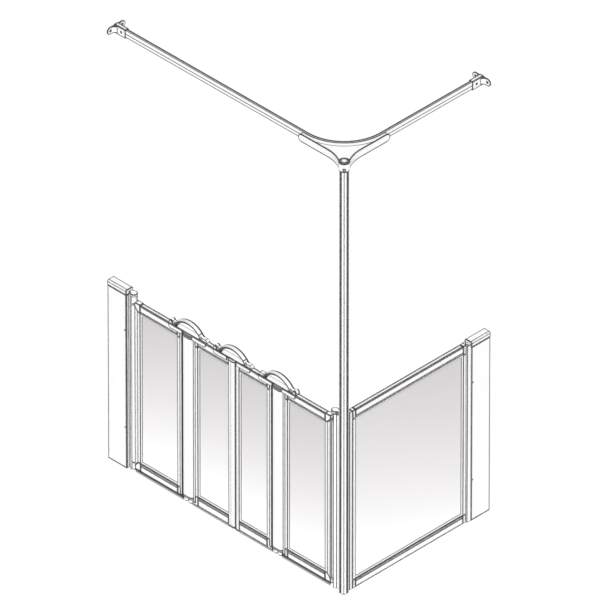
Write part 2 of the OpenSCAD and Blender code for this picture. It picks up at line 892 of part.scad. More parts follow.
// Fixed panel, drawn on the door run and turned onto the side run
side_in_a = -side_end + side_stile_w;
side_in_b = -side_start - side_stile_w;
side_rail_h = side_flat + bevel_h;
side_glass_z0 = side_rail_h;
side_glass_z1 = side_top - top_rail_h;

module side_corner_blocks() {
    fold_corner(-side_end, side_in_a, side_top, 1, top_rail_h);
    fold_corner(-side_end, side_in_a, 0, -1, side_rail_h);
    fold_corner(-side_start, side_in_b, side_top, 1, top_rail_h);
    fold_corner(-side_start, side_in_b, 0, -1, side_rail_h);
}

module side_stiles() {
    color("white") side_run() difference() {
        union() {
            stile(-side_end, side_stile_w, 0, side_top);
            translate([-side_start, 0, 0]) mirror([1, 0, 0]) stile(0, side_stile_w, 0, side_top);
        }
        side_corner_blocks();
    }
}

module side_rails() {
    color("white") side_run() rails(side_in_a, side_in_b, 0, side_top, side_flat);
}

module side_corners() {
    color("gainsboro") side_run() difference() {
        side_corner_blocks();
        groove_room(side_in_a, side_in_b, side_glass_z0, side_glass_z1);
    }
}

module side_glazing() {
    color("lightgray") side_run() glazing(side_in_a, side_in_b, side_glass_z0, side_glass_z1);
}

module side_gasket() {
    color("dimgray") side_run() gasket(side_in_a, side_in_b, side_glass_z0, side_glass_z1);
}

// Profile between the post and the fixed panel
module side_post_profile() {
    color("white") side_run() {
        post_shoe(0, side_top);
        difference() {
            block([-side_start, -inner_flat, 0], [-shoe_x, inner_flat, side_top]);
            block(
                [-side_start + skin, skin - inner_flat, -1],
                [-shoe_x - skin, inner_flat - skin, side_top + 1]
            );
        }
    }
}

// Profile between the fixed panel and the wall cover
module side_wall_profile() {
    color("white") side_run() {
        translate([-side_cover, 0, 0]) nesting_legs(0, cover_top - leg_drop);
        difference() {
            block([-side_cover, -nest_t / 2, 0], [-side_end, nest_t / 2, side_top - leg_drop]);
            block(
                [-side_cover + skin, -nest_t / 2 + skin, -1],
                [-side_end - skin, nest_t / 2 - skin, side_top]
            );
            block([-side_cover - 1, -cover_t, cover_top], [-side_cover + cap_lap, cover_t, side_top]);
        }
    }
}

// Curtain rail: a track with a glider slot below, a crease along each face and one on top
module track_outline() {
    difference() {
        translate([-track_t / 2, 0]) square([track_t, track_h]);
        translate([-track_t / 2 + skin, skin]) square([track_t - 2 * skin, track_h / 2 - 2 * skin]);
        translate([-track_t / 2 + skin, track_h / 2]) square([track_t - 2 * skin, track_h / 2 - skin]);
        translate([-slot_w / 2, -1]) square([slot_w, skin + 2]);
        for (s = [-1, 1]) translate([s * track_t / 2 - 0.4, track_h / 2 - 1.2]) square([0.8, 0.8]);
        translate([-0.5, track_h - 0.5]) square([1, 1]);
    }
}

bend_x = track_in + bend_r;
hub_r = post_r + hub_wall;

module curtain_rail() {
    color("white") {
        along_x(wall_x + plate_x, -bend_x) translate([track_in, track_z0]) track_outline();
        translate([-bend_x, bend_x, track_z0]) rotate(-90) rotate_extrude(angle = 90, $fn = 120)
            translate([bend_r, 0]) track_outline();
        side_run() along_x(-wall_y + plate_x, -bend_x) translate([track_in, track_z0]) track_outline();
    }
}

// Plan of the corner moulding, drawn in by the given inset
track_out = bend_r + track_t / 2;
face_y = 10;
cove_x = -94;
point_d = 15;

module moulding_plan(inset) {
    a = face_y + inset;
    b = track_in - track_t / 2 - inset;
    l = arm_l - inset;
    difference() {
        polygon([
            [-l, a], [cove_x, a], [inset - point_d, inset - point_d], [point_d - inset, point_d - inset],
            [-a, -cove_x], [-a, l], [-b, l], [-b, bend_x], [-bend_x, b], [-l, b]
        ]);
        translate([cove_x, face_y - cove_r]) circle(r = cove_r + inset, $fn = 120);
        translate([cove_r - face_y, -cove_x]) circle(r = cove_r + inset, $fn = 120);
        translate([-bend_x, bend_x]) circle(r = track_out + inset, $fn = 120);
    }
}

moulding_h = 34;
hub_taper = 5;
clamp_drop = 25;
clamp_r = 3;
clamp_l = 12;
clamp_in = 3;
moulding_z0 = post_h - moulding_h;
hub_z0 = moulding_z0 - hub_taper;
clamp_z = post_h - clamp_drop;

// Rounded end of an arm, seen from the front
module arm_end_cut() {
    r = (post_h - moulding_z0) / 2;
    difference() {
        block([-arm_l - 1, 0, moulding_z0 - 1], [-arm_l + r, track_in, post_h + 1]);
        translate([-arm_l + r, track_in + 1, moulding_z0 + r]) rotate([90, 0, 0])
            cylinder(r = r, h = track_in + 2);
    }
}

module corner_moulding() {
    color("white") difference() {
        union() {
            upright(moulding_z0, post_h) moulding_plan(0);
            translate([0, 0, moulding_z0]) cylinder(r = hub_r, h = moulding_h);
            translate([0, 0, hub_z0]) cylinder(r1 = hub_r - 2, r2 = hub_r, h = hub_taper);
        }
        difference() {
            upright(moulding_z0 - 1, post_h - arm_wall) moulding_plan(arm_wall);
            translate([0, 0, hub_z0]) cylinder(r = hub_r, h = post_h - hub_z0);
        }
        translate([0, 0, hub_z0 - 1]) cylinder(r = post_r, h = post_h, $fn = 96);
        rotate(-45) translate([post_r - clamp_in, 0, clamp_z]) rotate([0, 90, 0])
            cylinder(r = clamp_r, h = clamp_l);
        arm_end_cut();
        side_run() arm_end_cut();
    }
}

// Screw that clamps the moulding to the post
module clamp_screw() {
    color("silver") rotate(-45) {
        translate([post_r, 0, clamp_z]) rotate([0, 90, 0]) cylinder(r = clamp_r, h = hub_wall);
        translate([hub_r, 0, clamp_z]) rotate([0, 90, 0]) cylinder(r = 2 * clamp_r, h = 1.5);
    }
}

// Bracket on the door wall: a plate with two ears, a socket for the rail and concave webs
socket_t = track_t + 2 * socket_wall;
socket_z0 = track_z0 - socket_wall;
socket_z1 = post_h + socket_wall - 1;
bracket_z = (socket_z0 + socket_z1) / 2;
grub_x = 37;
grub_r = 2.5;
grub_l = 10;

module bracket() {
    difference() {
        union() {
            block(
                [0, track_in - hole_pitch / 2, bracket_z - ear_r],
                [plate_x, track_in + hole_pitch / 2, bracket_z + ear_r]
            );
            for (s = [-1, 1]) translate([0, track_in + s * hole_pitch / 2, bracket_z])
                rotate([0, 90, 0]) cylinder(r = ear_r, h = plate_x);
            block([0, track_in - socket_t / 2, socket_z0], [socket_l, track_in + socket_t / 2, socket_z1]);
            for (s = [-1, 1]) translate([plate_x, track_in + s * socket_t / 2, 0]) bracket_web(s);
        }
        for (s = [-1, 1]) translate([-1, track_in + s * hole_pitch / 2, bracket_z])
            rotate([0, 90, 0]) cylinder(r = hole_r, h = plate_x + 2);
        block([plate_x, track_in - track_t / 2, track_z0], [socket_l + 1, track_in + track_t / 2, post_h]);
        translate([grub_x, track_in - track_t / 2, bracket_z]) rotate([90, 0, 0])
            cylinder(r = grub_r, h = grub_l);
    }
}

module bracket_web(s) {
    difference() {
        block(
            [-eps, min(0, s * web_r), bracket_z - ear_r + 2],
            [web_r, max(0, s * web_r), bracket_z + ear_r - 2]
        );
        translate([web_r, s * web_r, bracket_z - ear_r]) cylinder(r = web_r, h = 2 * ear_r);
    }
}

module wall_bracket_left() { color("white") translate([wall_x, 0, 0]) bracket(); }
module wall_bracket_right() { color("white") side_run() translate([-wall_y, 0, 0]) bracket(); }

// Grub screws that hold the rail in its sockets
module grub(x) {
    translate([x + grub_x, track_in - track_t / 2, bracket_z]) rotate([90, 0, 0])
        cylinder(r = grub_r, h = socket_wall + 0.4);
}

module bracket_screws() {
    color("silver") {
        grub(wall_x);
        side_run() grub(-wall_y);
    }
}

// Saddle over a top rail, spanning u0 to u1 beside a handle whose middle is at 0
saddle_r = 12;

module saddle(u0, u1) {
    z0 = rail_top - skirt_h;
    out_u = u0 < 0 ? u0 + saddle_r : u1 - saddle_r;
    block([u0, -half_t - skirt_t, rail_top], [u1, half_t, rail_top + plate_t]);
    along_y(-half_t - skirt_t, -half_t) {
        translate([u0, z0 + saddle_r]) square([u1 - u0, skirt_h + plate_t - saddle_r]);
        translate([u0 < 0 ? out_u : u0, z0]) square([u1 - u0 - saddle_r, skirt_h + plate_t]);
        intersection() {
            translate([out_u, z0 + saddle_r]) circle(r = saddle_r);
            translate([u0, z0]) square([u1 - u0, saddle_r]);
        }
    }
}

// Ears and pin that carry the pivot end of a handle
module pivot_ears() {
    for (y = [-grip_w / 2, grip_w / 2 - ear_w]) {
        block([-loop_half - knuckle_r, y, rail_top], [-loop_half + knuckle_r, y + ear_w, pin_z]);
        translate([-loop_half, y + ear_w, pin_z]) rotate([90, 0, 0]) cylinder(r = knuckle_r, h = ear_w);
    }
    translate([-loop_half, grip_w / 2, pin_z]) rotate([90, 0, 0]) cylinder(r = pin_r, h = grip_w);
}

module near_saddle() {
    saddle(-loop_half - knuckle_r - saddle_inset, -near_u);
    pivot_ears();
}

module far_saddle() {
    saddle(far_u, loop_half);
}

// Rounded rectangle from the origin
module round_section(w, h, r) {
    translate([r, 0]) square([w - 2 * r, h]);
    translate([0, r]) square([w, h - 2 * r]);
    for (x = [r, w - r]) for (y = [r, h - r]) translate([x, y]) circle(r = r);
}

// Handle grip, measured in the plane of the loop
inner_r = arch_r - grip_t;
arch_z = rail_top - arch_drop;
edge_r = grip_t / 2 - 0.5;
tail_w = grip_w - 6;
tail_r = 7;
solid_u = loop_half - knuckle_r - 1;
shoulder_z = loop_z0 + shoulder_h;
hollow_r = arch_r + shoulder_r;
hollow_dz = shoulder_z + shoulder_r - arch_z;
hollow_du = sqrt(pow(hollow_r, 2) - pow(hollow_dz, 2));
groove_t = 0.8;
groove_angle = 44;

// Flowing side outline between the arch, whose centre is at u = 0, and a level top on its +u side
module shoulder_outline(u1) {
    k = arch_r / hollow_r;
    difference() {
        union() {
            translate([inner_r * cos(60), loop_z0]) square([u1 - inner_r * cos(60), shoulder_h]);
            polygon([
                [hollow_du, loop_z0], [hollow_du, shoulder_z], [k * hollow_du, arch_z + k * hollow_dz],
                [k * hollow_du * inner_r / arch_r, arch_z + k * hollow_dz * inner_r / arch_r]
            ]);
        }
        translate([0, arch_z]) circle(r = inner_r, $fn = 120);
        translate([hollow_du, shoulder_z + shoulder_r]) circle(r = shoulder_r);
    }
}

// Groove round the grip where its two mouldings meet
module grip_groove() {
    rotate([0, groove_angle, 0]) along_x(-groove_t / 2, groove_t / 2) difference() {
        translate([-grip_w, inner_r - 1]) square([2 * grip_w, grip_t + 2]);
        translate([groove_t - grip_w / 2, inner_r + groove_t])
            round_section(grip_w - 2 * groove_t, grip_t - 2 * groove_t, edge_r - groove_t);
    }
}

// Arched grip with its shoulders and its resting end
module grip() {
    end_u = loop_half + arch_shift;
    difference() {
        union() {
            intersection() {
                translate([0, 0, arch_z]) rotate([90, 0, 0]) rotate_extrude($fn = 120)
                    translate([inner_r, -grip_w / 2]) round_section(grip_t, grip_w, edge_r);
                block([-arch_r, -grip_w, loop_z0], [arch_r, grip_w, rail_top + arch_r]);
            }
            along_y(-tail_w / 2, tail_w / 2) {
                mirror([1, 0]) shoulder_outline(solid_u - arch_shift);
                difference() {
                    shoulder_outline(end_u);
                    difference() {
                        translate([end_u - tail_r, shoulder_z - tail_r]) square(tail_r + 1);
                        translate([end_u - tail_r, shoulder_z - tail_r]) circle(r = tail_r);
                    }
                }
            }
        }
        translate([0, 0, arch_z]) grip_groove();
        block(
            [end_u - tail_r - groove_t, -grip_w, shoulder_z - groove_t],
            [end_u - tail_r, grip_w, shoulder_z + 1]
        );
    }
}

// Handle loop: grip, closing bar and pivot tongue
module handle_loop() {
    difference() {
        union() {
            translate([-arch_shift, 0, 0]) grip();
            block([-solid_u, -grip_w / 2, loop_z0], [loop_half, grip_w / 2, loop_z0 + bar_t]);
            block([-loop_half, -tongue_w / 2, loop_z0], [-solid_u + 1, tongue_w / 2, shoulder_z]);
            translate([-loop_half, tongue_w / 2, pin_z]) rotate([90, 0, 0])
                cylinder(r = knuckle_r, h = tongue_w);
        }
        translate([-loop_half, tongue_w, pin_z]) rotate([90, 0, 0])
            cylinder(r = pin_r + pin_fit, h = 2 * tongue_w);
    }
}

module door_1_saddle() { color("gainsboro") translate([handle_1_x, 0, 0]) near_saddle(); }

module door_2_saddles() {
    color("gainsboro") {
        translate([handle_1_x, 0, 0]) far_saddle();
        translate([handle_2_x, 0, 0]) near_saddle();
    }
}

module door_3_saddles() {
    color("gainsboro") {
        translate([handle_2_x, 0, 0]) far_saddle();
        translate([handle_3_x, 0, 0]) mirror([1, 0, 0]) far_saddle();
    }
}

module door_4_saddle() { color("gainsboro") translate([handle_3_x, 0, 0]) mirror([1, 0, 0]) near_saddle(); }

module handle_1() { color("white") translate([handle_1_x, 0, 0]) handle_loop(); }
module handle_2() { color("white") translate([handle_2_x, 0, 0]) handle_loop(); }
module handle_3() { color("white") translate([handle_3_x, 0, 0]) mirror([1, 0, 0]) handle_loop(); }

wall_channel_left();
wall_channel_right();
wall_cover_left();
wall_cover_right();
wall_cap_left();
wall_cap_right();
cover_screws();
wall_hinge_profile();
wall_hinge_caps();
post_hinge_profile();
post_hinge_caps();
corner_post();
post_top_plug();
post_foot();
side_post_profile();
side_wall_profile();
side_stiles();
side_rails();
side_corners();
side_glazing();
side_gasket();
curtain_rail();
corner_moulding();
clamp_screw();
wall_bracket_left();
wall_bracket_right();
bracket_screws();
door_1_stiles();
door_1_rails();
door_1_corners();
door_1_glazing();
door_1_seals();
door_1_saddle();
door_2_stiles();
door_2_rails();
door_2_corners();
door_2_glazing();
door_2_seals();
door_2_saddles();
door_3_stiles();
door_3_rails();
door_3_corners();
door_3_glazing();
door_3_seals();
door_3_saddles();
door_4_stiles();
door_4_rails();
door_4_corners();
door_4_glazing();
door_4_seals();
door_4_saddle();
link_left_profile();
link_left_caps();
link_right_profile();
link_right_caps();
handle_1();
handle_2();
handle_3();
meeting_seal();
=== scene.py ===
"""Looks of a half-height corner shower screen: finishes, eased mouldings, seals, screws and studio."""

import json
import logging
import math
from dataclasses import dataclass, field
from enum import Enum
from functools import cached_property
from typing import Iterable, Optional, Sequence, Union

import bmesh
import bpy
from mathutils import Matrix, Vector


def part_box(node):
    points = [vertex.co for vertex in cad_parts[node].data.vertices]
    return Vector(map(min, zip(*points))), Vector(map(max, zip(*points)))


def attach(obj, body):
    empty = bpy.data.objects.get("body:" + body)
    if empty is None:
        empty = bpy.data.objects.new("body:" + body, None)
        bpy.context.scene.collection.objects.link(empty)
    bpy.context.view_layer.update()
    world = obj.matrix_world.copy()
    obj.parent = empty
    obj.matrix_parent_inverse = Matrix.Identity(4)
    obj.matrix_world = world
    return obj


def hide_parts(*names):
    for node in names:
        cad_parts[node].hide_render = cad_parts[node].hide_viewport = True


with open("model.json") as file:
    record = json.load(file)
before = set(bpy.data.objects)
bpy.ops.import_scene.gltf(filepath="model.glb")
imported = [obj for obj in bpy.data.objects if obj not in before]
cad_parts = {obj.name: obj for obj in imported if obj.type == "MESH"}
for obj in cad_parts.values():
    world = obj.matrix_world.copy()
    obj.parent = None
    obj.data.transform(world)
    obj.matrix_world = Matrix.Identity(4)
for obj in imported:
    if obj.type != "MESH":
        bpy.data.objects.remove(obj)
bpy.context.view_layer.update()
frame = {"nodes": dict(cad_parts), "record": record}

log = logging.getLogger("shower_screen")
logging.basicConfig(level=logging.INFO, format="%(name)s: %(message)s")

MM = 0.001
Number = Union[int, float]
Triple = tuple[float, float, float]
Colour = Triple
Shape = bmesh.types.BMesh
Edge = bmesh.types.BMEdge
Vert = bmesh.types.BMVert
Element = Union[Vert, Edge, bmesh.types.BMFace]
Socket = bpy.types.NodeSocket

# Numbers of the leaves and of the handles, of which the last pivots at its right end
LEAVES = range(1, 5)
HANDLES = range(1, 4)

# Sizes of the part that the finishes' lines follow
ARCH_R = 86 * MM
GRIP_T = 12 * MM
KNUCKLE_R = 8 * MM
ARCH_SHIFT = 4 * MM
RAIL_T = 12 * MM
BEND_R = 184 * MM
HUB_TAPER = 5 * MM
BRACE_RIM = 20 * MM

# How the masks of painted shade are measured and drawn
BEVEL_RAYS = 24
SKY_RAYS = 8
EDGE_GAIN = 1400.0
EDGE_LEAST = 0.0004
CREASE_CURVE = 1.4
LINE_FADE = 0.3

# How meshes are cleaned, rounded and shaded
WELD = 0.002 * MM
FLAT = math.radians(0.6)
SHARP = math.radians(38)
EASE_FACES = 3
SMOOTH = math.radians(34)
EASED_SMOOTH = math.radians(40)

WHITE: Colour = (1.0, 1.0, 1.0)
# The dark of the painted shade lines along edges and of the painted shade in gaps and corners
INK: Colour = (0.012, 0.012, 0.012)


class Look(Enum):
    """The finishes, each with its material's name and the record's slot that it belongs to."""

    FRAME = ("white_powder_coat", "frame_white")
    RAIL = ("white_rail_coat", "frame_white")
    BARREL = ("white_barrel_coat", "frame_white")
    COVER = ("white_cover_coat", "frame_white")
    MOULDING = ("white_moulding", "moulding_white")
    HANDLE_1 = ("white_handle_1", "moulding_white")
    HANDLE_2 = ("white_handle_2", "moulding_white")
    HANDLE_3 = ("white_handle_3", "moulding_white")
    BRACE = ("white_brace", "moulding_white")
    # The upper link caps are painted dark grey as the shade of the recess under the handles
    LINK_CAP = ("grey_link_cap", "moulding_white")
    CAP_LEFT = ("white_cap_left", "moulding_white")
    CAP_RIGHT = ("white_cap_right", "moulding_white")
    PANE_1 = ("frosted_pane_1", "glazing_frosted")
    PANE_2 = ("frosted_pane_2", "glazing_frosted")
    PANE_3 = ("frosted_pane_3", "glazing_frosted")
    PANE_4 = ("frosted_pane_4", "glazing_frosted")
    SIDE_PANE = ("frosted_side_pane", "glazing_frosted")
    GASKET = ("pale_gasket", "seal_grey")
    WIPER = ("grey_wiper", "seal_grey")
    PLUG = ("pale_plug", "seal_grey")
    MEETING = ("black_seal", "seal_black")
    SCREW = ("screw_steel", "screw_steel")
    MILL = ("mill_aluminium", "raw_aluminium")

    @property
    def title(self) -> str:
        """Name of the material."""
        return self.value[0]

    @property
    def slot(self) -> str:
        """Name of the record's slot."""
        return self.value[1]


class Wire:
    """A shader value whose arithmetic adds Math nodes to its tree."""

    def __init__(self, recipe: "Recipe", socket: Socket) -> None:
        """Wraps one output socket.

        Args:
            recipe: The recipe that owns the socket's tree.
            socket: The output that carries the value.
        """
        self.recipe = recipe
        self.socket = socket

    def _math(self, operation: str, first: "Operand", second: "Operand" = 0.0, clamp: bool = False) -> "Wire":
        """Adds one Math node.

        Args:
            operation: Blender's name of the operation.
            first: The first value.
            second: The second value.
            clamp: Whether the result is kept between 0 and 1.

        Returns:
            The result as a wire.
        """
        node = self.recipe.node(
            "ShaderNodeMath", {"operation": operation, "use_clamp": clamp}, {0: first, 1: second}
        )
        return Wire(self.recipe, node.outputs[0])

    def __add__(self, other: "Operand") -> "Wire":
        """Sum."""
        return self._math("ADD", self, other)

    def __radd__(self, other: "Operand") -> "Wire":
        """Sum with the value on the right."""
        return self._math("ADD", other, self)

    def __sub__(self, other: "Operand") -> "Wire":
        """Difference."""
        return self._math("SUBTRACT", self, other)

    def __rsub__(self, other: "Operand") -> "Wire":
        """Difference with the value on the right."""
        return self._math("SUBTRACT", other, self)

    def __mul__(self, other: "Operand") -> "Wire":
        """Product."""
        return self._math("MULTIPLY", self, other)

    def __rmul__(self, other: "Operand") -> "Wire":
        """Product with the value on the right."""
        return self._math("MULTIPLY", other, self)

    def __truediv__(self, other: "Operand") -> "Wire":
        """Quotient."""
        return self._math("DIVIDE", self, other)

    def __rtruediv__(self, other: "Operand") -> "Wire":
        """Quotient with the value on the right."""
        return self._math("DIVIDE", other, self)

    def __pow__(self, other: "Operand") -> "Wire":
        """Power."""
        return self._math("POWER", self, other)

    def __rpow__(self, other: "Operand") -> "Wire":
        """Power with the value on the right."""
        return self._math("POWER", other, self)

    def at_least(self, least: "Operand") -> "Wire":
        """The value, or the least one where that is larger."""
        return self._math("MAXIMUM", self, least)

    def clamped(self) -> "Wire":
        """The value kept between 0 and 1."""
        return self._math("ADD", self, 0.0, clamp=True)


Operand = Union[Number, Wire]
Value = Union[Number, Wire, Sequence[float], Socket]


def distance(first: Wire, second: Wire) -> Wire:
    """Distance of a point from the origin of its two coordinates."""
    return (first * first + second * second) ** 0.5


def rgba(colour: Colour) -> tuple[float, float, float, float]:
    """A colour with full alpha."""
    return (*colour, 1.0)


class Recipe:
    """The node tree of a material or a world under construction."""

    def __init__(self, owner: Union[bpy.types.Material, bpy.types.World]) -> None:
        """Starts with an empty tree.

        Args:
            owner: The material or world.
        """
        owner.use_nodes = True
        self.owner = owner
        self.tree = owner.node_tree
        self.tree.nodes.clear()

    @cached_property
    def place(self) -> Socket:
        """Object coordinates."""
        return self.node("ShaderNodeTexCoord").outputs["Object"]

    def node(
        self,
        kind: str,
        settings: Optional[dict[str, object]] = None,
        values: Optional[dict[Union[int, str], Value]] = None,
    ) -> bpy.types.Node:
        """Adds one node.

        Args:
            kind: Blender's type name of the node.
            settings: Properties of the node; "stops" holds a ramp's (position, colour) pairs.
            values: Numbers or links of its input sockets, by name or index.

        Returns:
            The new node.
        """
        node = self.tree.nodes.new(kind)
        for key, setting in (settings or {}).items():
            if key == "stops":
                self._fill_ramp(node.color_ramp, setting)
            else:
                setattr(node, key, setting)
        for key, value in (values or {}).items():
            if isinstance(value, Wire):
                value = value.socket
            if isinstance(value, Socket):
                self.tree.links.new(value, node.inputs[key])
            else:
                node.inputs[key].default_value = value
        return node

    @staticmethod
    def _fill_ramp(ramp: bpy.types.ColorRamp, stops: Sequence[tuple[float, Colour]]) -> None:
        """Sets the stops of a colour ramp.

        Args:
            ramp: The ramp to fill.
            stops: Positions and colours, in rising order.
        """
        while len(ramp.elements) < len(stops):
            ramp.elements.new(1.0)
        for element, (position, colour) in zip(ramp.elements, stops):
            element.position = position
            element.color = rgba(colour)

    def noise(self, scale: float, detail: float = 3.0, stretch: Triple = (1.0, 1.0, 1.0)) -> Wire:
        """Noise on Object coordinates.

        Args:
            scale: Waves to a metre.
            detail: Octaves of finer noise.
            stretch: Scale along each axis.

        Returns:
            The noise, from 0 to 1.
        """
        mapped = self.node("ShaderNodeMapping", {}, {"Vector": self.place, "Scale": stretch})
        texture = self.node(
            "ShaderNodeTexNoise", {}, {"Vector": mapped.outputs[0], "Scale": scale, "Detail": detail}
        )
        return Wire(self, texture.outputs[0])

    def place_along(self, axis: str) -> Wire:
        """Place along an axis, in metres.

        Args:
            axis: X, Y or Z.

        Returns:
            The coordinate.
        """
        split = self.node("ShaderNodeSeparateXYZ", {}, {0: self.place})
        return Wire(self, split.outputs[axis])

    def edges(self, reach: float) -> Wire:
        """Mask of the edges of a piece, along which shade lines are painted.

        Args:
            reach: Distance from an edge over which the mask fades, in metres.

        Returns:
            About 1 near an edge and 0 away from it.
        """
        rounded = self.node("ShaderNodeBevel", {"samples": BEVEL_RAYS}, {"Radius": reach})
        flat = self.node("ShaderNodeNewGeometry")
        dot = self.node(
            "ShaderNodeVectorMath",
            {"operation": "DOT_PRODUCT"},
            {0: rounded.outputs[0], 1: flat.outputs["Normal"]},
        )
        return ((1.0 - EDGE_LEAST - Wire(self, dot.outputs["Value"])) * EDGE_GAIN).clamped()

    def crease_shade(self, reach: float) -> Wire:
        """Mask of painted shade in inner corners and narrow gaps.

        Args:
            reach: How far away a neighbouring surface counts, in metres.

        Returns:
            About 1 deep in a gap and 0 in the open.
        """
        open_sky = self.node("ShaderNodeAmbientOcclusion", {"samples": SKY_RAYS}, {"Distance": reach})
        return (1.0 - Wire(self, open_sky.outputs["AO"])).clamped() ** CREASE_CURVE

    def lines_near(self, across: Wire, along: Wire, lines: Iterable[tuple[float, float, float]]) -> Wire:
        """Mask of lines that each follow one point of a section.

        Args:
            across: First coordinate in the section, in metres.
            along: Second coordinate in the section, in metres.
            lines: Where each line lies on both coordinates, and half its width, in metres.

        Returns:
            1 on a line, more where lines cross, and 0 away from them.
        """
        marks = [
            ((width - distance(across - spot, along - level)) / (LINE_FADE * width)).clamped()
            for spot, level, width in lines
        ]
        return sum(marks[1:], marks[0])

    def from_bend(self, bend_at: float) -> Wire:
        """Distance from the middle of the rail's bend, which on the arms is measured square to them.

        Args:
            bend_at: How far behind the post's axis the middle lies, along X and Y.

        Returns:
            The distance in metres.
        """
        past_x = (self.place_along("X") + bend_at).at_least(0.0)
        return distance(past_x, (bend_at - self.place_along("Y")).at_least(0.0))

    def mixed(self, factor: Operand, first: Value, second: Value) -> Socket:
        """Mixes two colours.

        Args:
            factor: Share of the second colour.
            first: The first colour, as numbers or a link.
            second: The second colour, as numbers or a link.

        Returns:
            The socket that carries the mixed colour.
        """
        node = self.node("ShaderNodeMix", {"data_type": "RGBA"}, {0: factor, 6: first, 7: second})
        return node.outputs[2]

    def inked(self, mask: Operand, body: Value) -> Socket:
        """A colour that turns to the dark of painted shade where a mask is 1."""
        return self.mixed(mask, body, rgba(INK))

    def clouded(self, colour: Colour, share: float, scale: float, detail: float = 2.0) -> Socket:
        """A colour with darker clouds.

        Args:
            colour: The colour.
            share: Share of its light that stays in the darkest cloud.
            scale: Waves to a metre.
            detail: Octaves of finer noise.

        Returns:
            The socket that carries the clouded colour.
        """
        red, green, blue = colour
        dark = (red * share, green * share, blue * share)
        return self.mixed(self.noise(scale, detail), rgba(colour), rgba(dark))

    def bumped(self, relief: Wire, depth: float, strength: float) -> Socket:
        """Turns a relief into a normal.

        Args:
            relief: Height of the surface, from 0 to 1.
            depth: Depth of the relief in metres.
            strength: How strongly it shows.

        Returns:
            The socket that carries the normal.
        """
        node = self.node("ShaderNodeBump", {}, {"Height": relief, "Distance": depth, "Strength": strength})
        return node.outputs[0]

    def finish(self, values: dict[Union[int, str], Value]) -> bpy.types.Material:
        """Closes the material with a Principled shader.

        Args:
            values: Inputs of the shader.

        Returns:
            The finished material.
        """
        shader = self.node("ShaderNodeBsdfPrincipled", {}, values)
        self.node("ShaderNodeOutputMaterial", {}, {"Surface": shader.outputs[0]})
        return self.owner


def grey(level: float) -> Colour:
    """A neutral colour."""
    return level, level, level


# In the finishes a scale is in waves to a metre, and a share lies between 0 and 1
@dataclass(frozen=True)
class PowderCoat:
    """White satin powder coat on aluminium, with painted shade lines along its edges and painted shade in
    gaps and corners.
    """

    look: Look
    colour: Colour = (0.90, 0.90, 0.90)
    drift: float = 0.965
    cloud_scale: float = 5.0
    lime: Colour = (0.62, 0.61, 0.58)
    lime_share: float = 0.10
    lime_fall: float = 7.0
    lime_scale: float = 34.0
    edge_reach: float = 4.4 * MM
    edge_share: float = 0.97
    gap_shade_reach: float = 5 * MM
    gap_shade_share: float = 0.5
    patchy: float = 0.4
    patch_scale: float = 160.0
    roughness: float = 0.36
    gloss_play: float = 0.14
    grain: float = 900.0
    relief: float = 0.05 * MM
    strength: float = 0.5

    def drawn_lines(self, r: Recipe) -> Operand:
        """Mask of further painted shade lines, of which a plain profile has none."""
        return 0.0

    def material(self) -> bpy.types.Material:
        """Builds the finish.

        Returns:
            The material.
        """
        r = Recipe(bpy.data.materials.new(self.look.title))
        body = r.clouded(self.colour, self.drift, self.cloud_scale)
        splash = (1.0 - r.place_along("Z") * self.lime_fall).clamped() * r.noise(self.lime_scale)
        body = r.mixed(splash * self.lime_share, body, rgba(self.lime))
        # Painted shade in gaps and inner corners
        body = r.inked(r.crease_shade(self.gap_shade_reach) * self.gap_shade_share, body)
        patches = 1.0 - self.patchy / 2 + r.noise(self.patch_scale) * self.patchy
        # Painted shade lines along the edges, varied in patches
        edge_shade = (r.edges(self.edge_reach) + self.drawn_lines(r)) * patches
        peel = r.noise(self.grain, 2.0)
        return r.finish({
            "Base Color": r.inked((edge_shade * self.edge_share).clamped(), body),
            "Roughness": self.roughness + (peel - 0.5) * self.gloss_play,
            "Coat Weight": 0.12,
            "Coat Roughness": 0.25,
            "Normal": r.bumped(peel, self.relief, self.strength),
        })


@dataclass(frozen=True)
class RailCoat(PowderCoat):
    """Powder coat of the bent curtain rail, with painted shade lines along its long edges and its crease, and
    darker on its top.
    """

    bend_at: float = 0.0
    low: float = 0.0
    high: float = 0.0
    line: float = 4.5 * MM
    crease: float = 2 * MM
    top_share: float = 0.45
    top_depth: float = 1 * MM
    top_gain: float = 5000.0

    def drawn_lines(self, r: Recipe) -> Operand:
        """Mask of the painted shade lines and of the darker top, measured across the rail's path.

        Args:
            r: The recipe under construction.

        Returns:
            The mask.
        """
        z = r.place_along("Z")
        top = ((z - self.high + self.top_depth) * self.top_gain).clamped() * self.top_share
        inner, outer = BEND_R - RAIL_T / 2, BEND_R + RAIL_T / 2
        lines = (
            (inner, self.high, self.line),
            (outer, self.high, self.crease),
            (outer, (self.low + self.high) / 2, self.crease),
            (outer, self.low, self.line),
        )
        return (top + r.lines_near(r.from_bend(self.bend_at), z, lines)).clamped()


